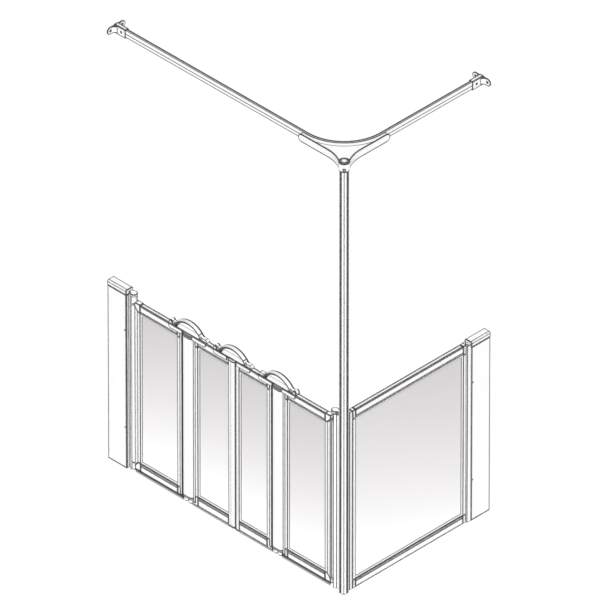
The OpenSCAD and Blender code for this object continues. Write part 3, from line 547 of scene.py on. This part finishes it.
@dataclass(frozen=True)
class MouldedPlastic:
    """White moulded plastic with a fine spark grain, painted shade lines along its edges and painted shade in
    gaps and corners.
    """

    look: Look
    colour: Colour = (0.90, 0.90, 0.897)
    drift: float = 0.97
    cloud_scale: float = 11.0
    edge_reach: float = 6.6 * MM
    edge_share: float = 0.97
    gap_shade_reach: float = 6 * MM
    gap_shade_share: float = 0.6
    roughness: float = 0.42
    gloss_play: float = 0.12
    spark_middle: float = 0.4
    grain: float = 1400.0
    relief: float = 0.04 * MM
    strength: float = 0.4

    def drawn_lines(self, r: Recipe) -> Operand:
        """Mask of further lines on the surface, of which a plain moulding has none."""
        return 0.0

    def material(self) -> bpy.types.Material:
        """Builds the finish.

        Returns:
            The material.
        """
        r = Recipe(bpy.data.materials.new(self.look.title))
        cells = r.node("ShaderNodeTexVoronoi", {"feature": "F1"}, {"Vector": r.place, "Scale": self.grain})
        spark = Wire(r, cells.outputs["Distance"])
        body = r.clouded(self.colour, self.drift, self.cloud_scale)
        # Painted shade in gaps and inner corners
        body = r.inked(r.crease_shade(self.gap_shade_reach) * self.gap_shade_share, body)
        # Painted shade lines along the edges
        marks = (r.edges(self.edge_reach) + self.drawn_lines(r)).clamped()
        return r.finish({
            "Base Color": r.inked(marks * self.edge_share, body),
            "Roughness": self.roughness + (spark - self.spark_middle) * self.gloss_play,
            "Normal": r.bumped(spark, self.relief, self.strength),
        })


@dataclass(frozen=True)
class GripPlastic(MouldedPlastic):
    """Moulded plastic of a handle loop, whose arched grip has painted shade lines along its rounded edges."""

    middle_x: float = 0.0
    middle_z: float = 0.0
    half_w: float = 0.0
    inset: float = 1.8 * MM
    line: float = 9.5 * MM

    def drawn_lines(self, r: Recipe) -> Operand:
        """Mask of the painted shade lines along the grip's outer back edge and inner front edge.

        Args:
            r: The recipe under construction.

        Returns:
            The mask.
        """
        radius = distance(r.place_along("X") - self.middle_x, r.place_along("Z") - self.middle_z)
        back = (ARCH_R - self.inset, self.half_w - self.inset, self.line)
        front = (ARCH_R - GRIP_T + self.inset, self.inset - self.half_w, self.line)
        return r.lines_near(radius, r.place_along("Y"), (back, front))


@dataclass(frozen=True)
class BracePlastic(MouldedPlastic):
    """Moulded plastic of the brace, with painted shade lines along the lower edge of its arms and along its
    bend.
    """

    low: float = 0.0
    top: float = 0.0
    bend_at: float = 0.0
    rim_r: float = 0.0
    line: float = 5 * MM
    thin_line: float = 2 * MM
    hub_r: float = 30 * MM
    hub_gain: float = 500.0
    low_gain: float = 2000.0
    bend_gain: float = 100.0

    def drawn_lines(self, r: Recipe) -> Operand:
        """Mask of the painted shade line along the lower edge, away from the hub, and of the rim along the
        bend.

        Args:
            r: The recipe under construction.

        Returns:
            The mask.
        """
        x, y, z = r.place_along("X"), r.place_along("Y"), r.place_along("Z")
        away = ((distance(x, y) - self.hub_r) * self.hub_gain).clamped()
        lower = ((self.low + self.line - z) * self.low_gain).clamped() * away
        past_x, past_y = (x + self.bend_at) * self.bend_gain, (self.bend_at - y) * self.bend_gain
        rim = r.lines_near(r.from_bend(self.bend_at), z, [(self.rim_r, self.top, self.thin_line)])
        return lower + rim * (past_x.clamped() * past_y.clamped())


@dataclass(frozen=True)
class CapPlastic(MouldedPlastic):
    """Moulded plastic of a wall cap, with painted shade lines where its rounded edges meet the flats."""

    axis: str = "Y"
    low: float = 0.0
    high: float = 0.0
    top: float = 0.0
    radius: float = 7 * MM
    line: float = 1.8 * MM

    def drawn_lines(self, r: Recipe) -> Operand:
        """Mask of the painted shade lines along both sides of each rounded edge.

        Args:
            r: The recipe under construction.

        Returns:
            The mask.
        """
        lines = (
            (self.low + self.radius, self.top, self.line),
            (self.low, self.top - self.radius, self.line),
            (self.high - self.radius, self.top, self.line),
            (self.high, self.top - self.radius, self.line),
        )
        return r.lines_near(r.place_along(self.axis), r.place_along("Z"), lines)


@dataclass(frozen=True)
class FrostedSheet:
    """Frosted glazing, grey at its upper outer corner and clearing to white at the opposite one."""

    look: Look
    low: Vector
    high: Vector
    axis: str
    outward: int
    lean: float = 0.5
    tones: tuple[tuple[float, Colour], ...] = (
        (0.12, (0.93, 0.93, 0.93)),
        (0.31, (0.825, 0.812, 0.815)),
        (0.50, (0.728, 0.708, 0.715)),
        (0.75, (0.625, 0.603, 0.610)),
        (1.00, (0.540, 0.520, 0.527)),
    )
    cloud_scale: float = 3.0
    cloud_share: float = 0.02
    frost: Colour = (0.97, 0.97, 0.97)
    frost_scale: float = 1100.0
    frost_share: float = 0.05
    roughness: float = 0.30
    gloss_play: float = 0.16
    relief: float = 0.03 * MM
    strength: float = 0.35

    def material(self) -> bpy.types.Material:
        """Builds the finish.

        Returns:
            The material.
        """
        r = Recipe(bpy.data.materials.new(self.look.title))
        across = "XYZ".index(self.axis)
        width = self.high[across] - self.low[across]
        inner = self.low[across] if self.outward > 0 else self.high[across]
        reach = (r.place_along(self.axis) - inner) * self.outward
        tall = self.high[2] - self.low[2]
        rise = (r.place_along("Z") - self.low[2] + reach * self.lean) / (tall + width * self.lean)
        clouds = (r.noise(self.cloud_scale, 1.0) - 0.5) * self.cloud_share
        ramp = r.node("ShaderNodeValToRGB", {"stops": self.tones}, {0: rise + clouds})
        frost = r.noise(self.frost_scale, 4.0)
        return r.finish({
            "Base Color": r.mixed(frost * self.frost_share, ramp.outputs[0], rgba(self.frost)),
            "Roughness": self.roughness + frost * self.gloss_play,
            "Coat Weight": 0.25,
            "Coat Roughness": 0.08,
            "Normal": r.bumped(frost, self.relief, self.strength),
        })


@dataclass(frozen=True)
class Rubber:
    """Extruded seal with faint lengthways streaks, painted shade lines along its edges and painted shade in
    gaps and corners.
    """

    look: Look
    colour: Colour
    bloom: Colour
    edge_reach: float = 2.6 * MM
    edge_share: float = 0.9
    gap_shade_reach: float = 5 * MM
    gap_shade_share: float = 0.85
    dust_scale: float = 60.0
    dust_share: float = 0.5
    streak_scale: float = 420.0
    stretch: Triple = (1.0, 1.0, 0.05)
    roughness: float = 0.52
    gloss_play: float = 0.2
    relief: float = 0.08 * MM
    strength: float = 0.5

    def material(self) -> bpy.types.Material:
        """Builds the finish.

        Returns:
            The material.
        """
        r = Recipe(bpy.data.materials.new(self.look.title))
        streak = r.noise(self.streak_scale, 3.0, self.stretch)
        body = r.mixed(r.noise(self.dust_scale) * self.dust_share, rgba(self.colour), rgba(self.bloom))
        # Painted shade in gaps and inner corners
        body = r.inked(r.crease_shade(self.gap_shade_reach) * self.gap_shade_share, body)
        return r.finish({
            "Base Color": r.inked(r.edges(self.edge_reach) * self.edge_share, body),
            "Roughness": self.roughness + streak * self.gloss_play,
            "Normal": r.bumped(streak, self.relief, self.strength),
        })


@dataclass(frozen=True)
class Metal:
    """Bare metal with fine brushed lines and painted shade lines along its edges."""

    look: Look
    colour: Colour
    roughness: float
    gloss_play: float = 0.15
    drift: float = 0.85
    cloud_scale: float = 90.0
    edge_reach: float = 3 * MM
    edge_share: float = 0.9
    brush_scale: float = 1500.0
    stretch: Triple = (1.0, 1.0, 0.04)
    relief: float = 0.03 * MM
    strength: float = 0.4

    def material(self) -> bpy.types.Material:
        """Builds the finish.

        Returns:
            The material.
        """
        r = Recipe(bpy.data.materials.new(self.look.title))
        brushed = r.noise(self.brush_scale, 2.0, self.stretch)
        tone = r.clouded(self.colour, self.drift, self.cloud_scale, 3.0)
        return r.finish({
            "Base Color": r.inked(r.edges(self.edge_reach) * self.edge_share, tone),
            "Metallic": 1.0,
            "Roughness": self.roughness + (brushed - 0.5) * self.gloss_play,
            "Normal": r.bumped(brushed, self.relief, self.strength),
        })


class Finishes:
    """Every finish of the screen."""

    def __init__(self) -> None:
        """Builds the materials."""
        recipes = [
            PowderCoat(Look.FRAME),
            PowderCoat(Look.COVER, edge_reach=8.5 * MM),
            PowderCoat(Look.BARREL, gap_shade_share=0.2),
            MouldedPlastic(Look.MOULDING),
            self.cap(Look.CAP_LEFT, "wall_cap_left", "Y"),
            self.cap(Look.CAP_RIGHT, "wall_cap_right", "X"),
            FrostedSheet(Look.SIDE_PANE, *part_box("side_glazing"), "Y", 1),
            Rubber(Look.GASKET, grey(0.84), grey(0.88), gap_shade_share=0.3),
            Rubber(Look.WIPER, grey(0.34), grey(0.42), edge_reach=1.2 * MM, gap_shade_share=0.3),
            Rubber(Look.PLUG, grey(0.80), grey(0.86), edge_reach=7 * MM),
            Rubber(Look.MEETING, grey(0.010), grey(0.02)),
            Metal(Look.SCREW, (0.42, 0.42, 0.43), 0.34),
            # Dark grey as painted shade of the recess under the handles
            MouldedPlastic(Look.LINK_CAP, grey(0.22), edge_reach=3.5 * MM),
            self.rail(),
            self.brace(),
            Metal(Look.MILL, (0.74, 0.74, 0.75), 0.42),
        ]
        for number in HANDLES:
            side = -1 if number == HANDLES[-1] else 1
            recipes.append(self.grip(Look[f"HANDLE_{number}"], f"handle_{number}", side))
        for number in LEAVES:
            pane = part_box(f"door_{number}_glazing")
            recipes.append(FrostedSheet(Look[f"PANE_{number}"], *pane, "X", -1))
        self.made: dict[Look, bpy.types.Material] = {recipe.look: recipe.material() for recipe in recipes}

    @staticmethod
    def cap(look: Look, node: str, axis: str) -> CapPlastic:
        """The recipe of a wall cap.

        Args:
            look: Its finish.
            node: Name of the CAD node.
            axis: The axis across the cap.

        Returns:
            The recipe.
        """
        low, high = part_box(node)
        index = "XYZ".index(axis)
        return CapPlastic(look, axis=axis, low=low[index], high=high[index], top=high[2])

    @staticmethod
    def brace() -> BracePlastic:
        """The recipe of the brace between post and rail.

        Returns:
            The recipe.
        """
        low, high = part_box("corner_moulding")
        return BracePlastic(
            Look.BRACE,
            low=low[2] + HUB_TAPER,
            top=high[2],
            bend_at=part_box("curtain_rail")[0][1] + RAIL_T / 2 + BEND_R,
            rim_r=BEND_R + RAIL_T / 2 + BRACE_RIM,
        )

    @staticmethod
    def rail() -> RailCoat:
        """The recipe of the curtain rail, whose arms run along X and Y behind the post's axis.

        Returns:
            The recipe.
        """
        low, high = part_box("curtain_rail")
        return RailCoat(
            Look.RAIL,
            edge_reach=1.6 * MM,
            gap_shade_share=0.2,
            bend_at=low[1] + RAIL_T / 2 + BEND_R,
            low=low[2],
            high=high[2],
        )

    @staticmethod
    def grip(look: Look, node: str, side: int) -> GripPlastic:
        """The recipe of a handle loop.

        Args:
            look: Its finish.
            node: Name of the CAD node.
            side: 1 if the pivot is at the loop's low X end, or -1.

        Returns:
            The recipe.
        """
        low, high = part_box(node)
        return GripPlastic(
            look,
            edge_reach=3.2 * MM,
            middle_x=(low[0] + high[0] + side * KNUCKLE_R) / 2 - side * ARCH_SHIFT,
            middle_z=high[2] - ARCH_R,
            half_w=(high[1] - low[1]) / 2,
        )

    def __getitem__(self, look: Look) -> bpy.types.Material:
        """The material of a finish."""
        return self.made[look]


def extent(shape: Shape, axis: int) -> float:
    """Length of a mesh along an axis."""
    along = [v.co[axis] for v in shape.verts]
    return max(along) - min(along)


def pour(part: Shape, whole: Shape) -> None:
    """Adds a mesh to another one and frees it.

    Args:
        part: The mesh to add.
        whole: The mesh that takes it.
    """
    mesh = bpy.data.meshes.new("part")
    part.to_mesh(mesh)
    part.free()
    whole.from_mesh(mesh)
    bpy.data.meshes.remove(mesh)


def block(low: Sequence[float], high: Sequence[float]) -> Shape:
    """A box between two corners.

    Args:
        low: Lowest corner.
        high: Highest corner.

    Returns:
        The mesh.
    """
    shape = bmesh.new()
    lo, hi = Vector(low), Vector(high)
    place = Matrix.Translation((lo + hi) / 2) @ Matrix.Diagonal((*(hi - lo), 1.0))
    bmesh.ops.create_cube(shape, size=1.0, matrix=place)
    return shape


def round_off(shape: Shape, edges: list[Edge], width: float, faces: int) -> None:
    """Rounds edges of a mesh.

    Args:
        shape: The mesh.
        edges: The edges to round.
        width: Width of the rounding in metres.
        faces: Faces across each rounding.
    """
    bmesh.ops.bevel(
        shape,
        geom=edges,
        offset=width,
        offset_type="OFFSET",
        segments=faces,
        profile=0.5,
        affect="EDGES",
        clamp_overlap=True,
        material=-1,
    )


def ease(shape: Shape, width: float) -> None:
    """Rounds the sharp edges of a mesh.

    Args:
        shape: The mesh.
        width: Width of the rounding in metres.
    """
    sharp = [e for e in shape.edges if len(e.link_faces) == 2 and e.calc_face_angle(0.0) > SHARP]
    round_off(shape, sharp, width, EASE_FACES)


def verts_of(geom: Sequence[Element]) -> list[Vert]:
    """The vertices among the elements that an operator made."""
    return [g for g in geom if isinstance(g, Vert)]


def edges_of(geom: Sequence[Element], verts: list[Vert]) -> list[Edge]:
    """The edges between given vertices among the elements that an operator made."""
    return [g for g in geom if isinstance(g, Edge) and all(v in verts for v in g.verts)]


def facing(point: Sequence[float], direction: Sequence[float]) -> Matrix:
    """A placement at a point whose Z looks along a direction.

    Args:
        point: Where the placement stands.
        direction: Where its Z points.

    Returns:
        The matrix.
    """
    turn = Vector(direction).to_track_quat("Z", "Y").to_matrix().to_4x4()
    return Matrix.Translation(Vector(point)) @ turn


@dataclass(frozen=True)
class ScrewHead:
    """A pan head with a cross recess, whose last five sizes are shares of its radius or height."""

    radius: float = 3.2 * MM
    height: float = 1.2 * MM
    sides: int = 24
    wall: float = 0.55
    crown: float = 0.72
    arm: float = 0.55
    arm_half: float = 0.14
    depth: float = 0.6

    def mesh(self, place: Matrix) -> Shape:
        """Builds the head.

        Args:
            place: Where the seat lies, with Z pointing out.

        Returns:
            The mesh.
        """
        shape = bmesh.new()
        circle = bmesh.ops.create_circle(shape, cap_ends=False, radius=self.radius, segments=self.sides)
        ring = circle["verts"]
        seat = [v.link_edges[0] for v in ring]
        wall = bmesh.ops.extrude_edge_only(shape, edges=list({e for v in ring for e in v.link_edges}))["geom"]
        raised = verts_of(wall)
        bmesh.ops.translate(shape, vec=(0, 0, self.height * self.wall), verts=raised)
        dome = bmesh.ops.extrude_edge_only(shape, edges=edges_of(wall, raised))["geom"]
        crown = verts_of(dome)
        bmesh.ops.scale(shape, vec=(self.crown, self.crown, 1.0), verts=crown)
        bmesh.ops.translate(shape, vec=(0, 0, self.height * (1 - self.wall)), verts=crown)
        arm, half = self.radius * self.arm, self.radius * self.arm_half
        corners = [
            (arm, half), (half, half), (half, arm), (-half, arm), (-half, half), (-arm, half),
            (-arm, -half), (-half, -half), (-half, -arm), (half, -arm), (half, -half), (arm, -half),
        ]
        cross = [shape.verts.new((x, y, self.height)) for x, y in corners]
        cross_edges = [shape.edges.new((a, b)) for a, b in zip(cross, cross[1:] + cross[:1])]
        bmesh.ops.bridge_loops(shape, edges=edges_of(dome, crown) + cross_edges)
        sunk = bmesh.ops.extrude_edge_only(shape, edges=cross_edges)["geom"]
        low = verts_of(sunk)
        bmesh.ops.translate(shape, vec=(0, 0, -self.height * self.depth), verts=low)
        bmesh.ops.contextual_create(shape, geom=edges_of(sunk, low))
        bmesh.ops.contextual_create(shape, geom=list(set(seat)))
        bmesh.ops.recalc_face_normals(shape, faces=shape.faces)
        bmesh.ops.transform(shape, matrix=place, verts=shape.verts)
        return shape


class Bench:
    """Turns bmeshes into finished pieces that ride on the frame."""

    def __init__(self, finishes: Finishes) -> None:
        """Keeps the finishes at hand, and the body that carries each CAD node.

        Args:
            finishes: Every finish of the screen.
        """
        self.finishes = finishes
        bodies = frame["record"]["behaviour"]["bodies"]
        self.body_of: dict[str, str] = {node: body for body, nodes in bodies.items() for node in nodes}

    def dress(self, look: Look, *nodes: str) -> None:
        """Gives CAD nodes a finish.

        Args:
            look: The finish.
            nodes: Names of the CAD nodes.
        """
        for node in nodes:
            mesh = frame["nodes"][node].data
            mesh.materials.clear()
            mesh.materials.append(self.finishes[look])

    def piece(self, name: str, shape: Shape, look: Look, node: str, smooth: float = SMOOTH) -> None:
        """Makes an object of a bmesh, which stands for a CAD node and rides on its body.

        Args:
            name: Name of the piece.
            shape: Its mesh, in place. It is freed.
            look: Its finish.
            node: Name of the CAD node.
            smooth: Largest angle in radians that is shaded smooth.
        """
        mesh = bpy.data.meshes.new(name)
        shape.to_mesh(mesh)
        shape.free()
        mesh.shade_smooth()
        mesh.set_sharp_from_angle(angle=smooth)
        mesh.materials.append(self.finishes[look])
        thing = bpy.data.objects.new(name, mesh)
        bpy.context.scene.collection.objects.link(thing)
        thing.modifiers.new("even_normals", "WEIGHTED_NORMAL").keep_sharp = True
        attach(thing, self.body_of[node])
        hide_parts(node)
        log.info("%s: %d faces on %s", name, len(mesh.polygons), self.body_of[node])

    @staticmethod
    def merged(node: str) -> Shape:
        """A merged copy of a CAD node's mesh, with flat faces joined.

        Args:
            node: Name of the CAD node.

        Returns:
            The copy.
        """
        shape = bmesh.new()
        shape.from_mesh(frame["nodes"][node].data)
        bmesh.ops.remove_doubles(shape, verts=shape.verts, dist=WELD)
        bmesh.ops.dissolve_limit(
            shape, angle_limit=FLAT, use_dissolve_boundaries=False, verts=shape.verts, edges=shape.edges
        )
        return shape

    def loose(self, node: str) -> list[Shape]:
        """The separate solids of a CAD node.

        Args:
            node: Name of the CAD node.

        Returns:
            One merged mesh for each solid.
        """
        whole = self.merged(node)
        whole.verts.index_update()
        rest = set(whole.verts)
        groups: list[set[int]] = []
        while rest:
            group, border = set(), [next(iter(rest))]
            while border:
                vert = border.pop()
                if vert not in group:
                    group.add(vert)
                    border.extend(edge.other_vert(vert) for edge in vert.link_edges)
            rest -= group
            groups.append({vert.index for vert in group})
        shapes = []
        for group in groups:
            shape = whole.copy()
            shape.verts.ensure_lookup_table()
            others = [vert for vert in shape.verts if vert.index not in group]
            bmesh.ops.delete(shape, geom=others, context="VERTS")
            shapes.append(shape)
        whole.free()
        return shapes

    def eased(self, node: str, look: Look, width: float) -> None:
        """Replaces a CAD node by a copy whose sharp edges are rounded.

        Args:
            node: Name of the CAD node.
            look: Its finish.
            width: Width of the rounding in metres.
        """
        shape = self.merged(node)
        ease(shape, width)
        self.piece(f"{node}_eased", shape, look, node, EASED_SMOOTH)


@dataclass
class FixedSide:
    """The fixed panel with its profiles, both wall covers and their caps."""

    bench: Bench
    cap_ease: float = 1.0 * MM
    corner_ease: float = 0.9 * MM
    cover_faces: int = 2
    skin: float = 1.8 * MM
    end_depth: float = 2 * MM
    level: float = 0.9
    screw: ScrewHead = ScrewHead()
    frames: tuple[str, ...] = ("side_post_profile", "side_wall_profile", "side_stiles")

    def build(self) -> None:
        """Dresses the nodes and builds the caps, corners and screws."""
        self.bench.dress(Look.FRAME, *self.frames)
        self.bench.dress(Look.COVER, "side_rails")
        self.bench.dress(Look.MILL, "wall_channel_left", "wall_channel_right")
        self.bench.dress(Look.SIDE_PANE, "side_glazing")
        self.bench.dress(Look.GASKET, "side_gasket")
        for side, look in (("left", Look.CAP_LEFT), ("right", Look.CAP_RIGHT)):
            self.bench.eased(f"wall_cap_{side}", look, self.cap_ease)
            self.cover_shell(f"wall_cover_{side}")
        self.bench.eased("side_corners", Look.MOULDING, self.corner_ease)
        self.screws()

    def cover_shell(self, node: str) -> None:
        """Replaces a wall cover by its outer shell, whose ends are sunk within its skin.

        Args:
            node: Name of the CAD node.
        """
        shape = block(*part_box(node))
        upright = [e for e in shape.edges if abs(e.verts[0].co.z - e.verts[1].co.z) > self.skin]
        round_off(shape, upright, self.corner_ease, self.cover_faces)
        for face in [f for f in shape.faces if abs(f.normal.z) > self.level]:
            inward = -face.normal * self.end_depth
            bmesh.ops.inset_region(shape, faces=[face], thickness=self.skin)
            sunk = bmesh.ops.extrude_discrete_faces(shape, faces=[face])["faces"]
            bmesh.ops.translate(shape, vec=inward, verts=sunk[0].verts)
        bmesh.ops.recalc_face_normals(shape, faces=shape.faces)
        self.bench.piece(f"{node}_shell", shape, Look.COVER, node)

    def screws(self) -> None:
        """Replaces the plain cover screws by cross-headed ones."""
        whole = bmesh.new()
        radius = self.screw.radius
        low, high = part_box("cover_screws")
        left_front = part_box("wall_cover_left")[0][1]
        right_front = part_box("wall_cover_right")[1][0]
        for z in (low[2] + radius, high[2] - radius):
            pour(self.screw.mesh(facing((low[0] + radius, left_front, z), (0, -1, 0))), whole)
            pour(self.screw.mesh(facing((right_front, high[1] - radius, z), (1, 0, 0))), whole)
        self.bench.piece("cover_screw_heads", whole, Look.SCREW, "cover_screws")


@dataclass
class PostAndRail:
    """The corner post, its plugs, the curtain rail, the brace and the wall brackets."""

    bench: Bench
    plug_ease: float = 0.8 * MM
    brace_ease: float = 0.7 * MM
    bracket_ease: float = 0.7 * MM

    def build(self) -> None:
        """Dresses the nodes and builds the eased mouldings."""
        self.bench.dress(Look.FRAME, "corner_post")
        self.bench.dress(Look.RAIL, "curtain_rail")
        self.bench.dress(Look.PLUG, "post_foot")
        self.bench.dress(Look.SCREW, "clamp_screw", "bracket_screws")
        self.bench.eased("post_top_plug", Look.PLUG, self.plug_ease)
        self.bench.eased("corner_moulding", Look.BRACE, self.brace_ease)
        for node in ("wall_bracket_left", "wall_bracket_right"):
            self.bench.eased(node, Look.MOULDING, self.bracket_ease)


@dataclass
class DoorLeaf:
    """One folding leaf with its frame, glazing, seals and handle saddles."""

    bench: Bench
    number: int
    corner_ease: float = 0.9 * MM
    saddle_ease: float = 0.6 * MM
    fin_t: float = 1.5 * MM

    def build(self) -> None:
        """Dresses the nodes and builds the seals and the eased mouldings."""
        name = f"door_{self.number}"
        self.bench.dress(Look.FRAME, f"{name}_stiles")
        self.bench.dress(Look.COVER, f"{name}_rails")
        self.bench.dress(Look[f"PANE_{self.number}"], f"{name}_glazing")
        self.seals(f"{name}_seals")
        self.bench.eased(f"{name}_corners", Look.MOULDING, self.corner_ease)
        saddle = "saddle" if f"{name}_saddle" in frame["nodes"] else "saddles"
        self.bench.eased(f"{name}_{saddle}", Look.MOULDING, self.saddle_ease)

    def seals(self, node: str) -> None:
        """Replaces the seals' node by its three seals, each with its own finish; the fin strip beside the
        fold link is dressed black as a painted shadow line.

        Args:
            node: Name of the CAD node that holds the three seals.
        """
        wiper, *tall = sorted(self.bench.loose(node), key=lambda part: extent(part, 2))
        fin, gasket = sorted(tall, key=lambda part: extent(part, 0))
        self.add_fins(wiper)
        # The fin strip is black as a painted shadow line beside the fold link's barrel
        for title, shape, look in (
            ("wiper", wiper, Look.WIPER),
            ("fin", fin, Look.MEETING),
            ("gasket", gasket, Look.GASKET),
        ):
            self.bench.piece(f"{node}_{title}", shape, look, node)

    def add_fins(self, wiper: Shape) -> None:
        """Adds two thin fins from the leaf's bottom edges down to the lowest level of its bottom seal.

        Args:
            wiper: The mesh of the leaf's bottom seal.
        """
        low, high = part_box(f"door_{self.number}_stiles")
        ends = [v.co.x for v in wiper.verts]
        floor = min(v.co.z for v in wiper.verts)
        for outer, inner in ((low[1], low[1] + self.fin_t), (high[1] - self.fin_t, high[1])):
            pour(block((min(ends), outer, floor), (max(ends), inner, low[2])), wiper)


@dataclass
class Hinges:
    """The swing hinges at wall and post and the two fold links."""

    bench: Bench
    cap_ease: float = 1.2 * MM
    links: tuple[str, ...] = ("link_left", "link_right")
    fixed: tuple[str, ...] = ("wall_hinge", "post_hinge")

    def build(self) -> None:
        """Dresses the profiles and builds the eased caps."""
        self.bench.dress(Look.BARREL, *(f"{name}_profile" for name in self.links + self.fixed))
        for name in self.fixed:
            self.bench.eased(f"{name}_caps", Look.MOULDING, self.cap_ease)
        for name in self.links:
            self.link_caps(f"{name}_caps")

    def link_caps(self, node: str) -> None:
        """Replaces a link's caps by an upper cap painted dark grey as the shade of the recess under the
        handle and a white lower cap with its feet.

        Args:
            node: Name of the CAD node.
        """
        lower, upper = sorted(self.bench.loose(node), key=lambda part: min(v.co.z for v in part.verts))
        for title, shape, look in (("lower", lower, Look.MOULDING), ("upper", upper, Look.LINK_CAP)):
            ease(shape, self.cap_ease)
            self.bench.piece(f"{node}_{title}", shape, look, node, EASED_SMOOTH)


@dataclass
class Handles:
    """The three lift-up handle loops."""

    bench: Bench
    loop_ease: float = 0.5 * MM

    def build(self) -> None:
        """Builds each loop with rounded edges."""
        for number in HANDLES:
            self.bench.eased(f"handle_{number}", Look[f"HANDLE_{number}"], self.loop_ease)


@dataclass
class Meeting:
    """The black seal where the leading leaves meet."""

    bench: Bench

    def build(self) -> None:
        """Dresses the seal."""
        self.bench.dress(Look.MEETING, "meeting_seal")


@dataclass
class Studio:
    """Floor, lamps, world and camera."""

    look_at: Vector = field(default_factory=lambda: Vector((-0.5384, 0.3163, 0.8547)))
    view_back: Vector = field(default_factory=lambda: Vector((1.0, -1.0, 1.0)).normalized())
    view_size: float = 2.154
    sensor: float = 36.0
    lens: float = 1700.0
    clip_start: float = 10.0
    clip_end: float = 1000.0
    floor_half: float = 30.0
    floor_colour: Colour = (0.82, 0.82, 0.82)
    floor_glow: float = 1.06
    glow_share: float = 0.82
    world_light: float = 0.42
    key_light: float = 0.6
    fill_light: float = 2.4
    sun_spread: float = math.radians(24)
    sun_turn: Triple = (math.radians(41), 0.0, math.radians(45))

    def build(self) -> None:
        """Builds the studio."""
        bpy.context.scene.view_settings.view_transform = "Standard"
        self.floor()
        self.world()
        self.lamp("key_light", self.key_light, True)
        self.lamp("fill_light", self.fill_light, False)
        self.camera()

    def floor(self) -> None:
        """Builds the pale floor, which keeps a soft shadow."""
        shape = bmesh.new()
        bmesh.ops.create_grid(shape, x_segments=1, y_segments=1, size=self.floor_half)
        mesh = bpy.data.meshes.new("floor")
        shape.to_mesh(mesh)
        shape.free()
        mesh.materials.append(self.floor_finish())
        thing = bpy.data.objects.new("floor", mesh)
        bpy.context.scene.collection.objects.link(thing)

    def floor_finish(self) -> bpy.types.Material:
        """Pale floor that camera, mirror and glass rays see nearly white.

        Returns:
            The material.
        """
        r = Recipe(bpy.data.materials.new("pale_floor"))
        rays = r.node("ShaderNodeLightPath").outputs
        camera, *others = (Wire(r, rays[f"Is {kind} Ray"]) for kind in ("Camera", "Glossy", "Transmission"))
        seen = sum(others, camera).clamped() * self.glow_share
        dull = r.node("ShaderNodeBsdfDiffuse", {}, {"Color": rgba(self.floor_colour)})
        glow = r.node("ShaderNodeEmission", {}, {"Color": rgba(WHITE), "Strength": self.floor_glow})
        both = r.node("ShaderNodeMixShader", {}, {0: seen, 1: dull.outputs[0], 2: glow.outputs[0]})
        r.node("ShaderNodeOutputMaterial", {}, {"Surface": both.outputs[0]})
        return r.owner

    def world(self) -> None:
        """Sets a white world whose light on the object is softer."""
        r = Recipe(bpy.data.worlds.new("studio"))
        rays = r.node("ShaderNodeLightPath").outputs
        light = r.node("ShaderNodeBackground", {}, {"Color": rgba(WHITE), "Strength": self.world_light})
        seen = r.node("ShaderNodeBackground", {}, {"Color": rgba(WHITE)})
        both = r.node(
            "ShaderNodeMixShader", {}, {0: rays["Is Camera Ray"], 1: light.outputs[0], 2: seen.outputs[0]}
        )
        r.node("ShaderNodeOutputWorld", {}, {"Surface": both.outputs[0]})
        bpy.context.scene.world = r.owner

    def lamp(self, name: str, strength: float, shadow: bool) -> None:
        """Adds a broad sun.

        Args:
            name: Name of the lamp.
            strength: Its strength.
            shadow: Whether it casts shadows.
        """
        data = bpy.data.lights.new(name, "SUN")
        data.energy = strength
        data.angle = self.sun_spread
        data.use_shadow = shadow
        thing = bpy.data.objects.new(name, data)
        thing.rotation_euler = self.sun_turn
        bpy.context.scene.collection.objects.link(thing)

    def camera(self) -> None:
        """Sets the camera at the photograph's angle."""
        data = bpy.data.cameras.new("camera")
        data.sensor_width = self.sensor
        data.lens = self.lens
        data.clip_start = self.clip_start
        data.clip_end = self.clip_end
        thing = bpy.data.objects.new("camera", data)
        away = self.view_size * self.lens / self.sensor
        thing.location = self.look_at + self.view_back * away
        thing.rotation_euler = self.view_back.to_track_quat("Z", "Y").to_euler()
        bpy.context.scene.collection.objects.link(thing)
        bpy.context.scene.camera = thing


def main() -> None:
    """Builds the screen's looks in order."""
    bench = Bench(Finishes())
    Studio().build()
    FixedSide(bench).build()
    PostAndRail(bench).build()
    Hinges(bench).build()
    for number in LEAVES:
        DoorLeaf(bench, number).build()
    Meeting(bench).build()
    Handles(bench).build()


if __name__ == "__main__":
    main()
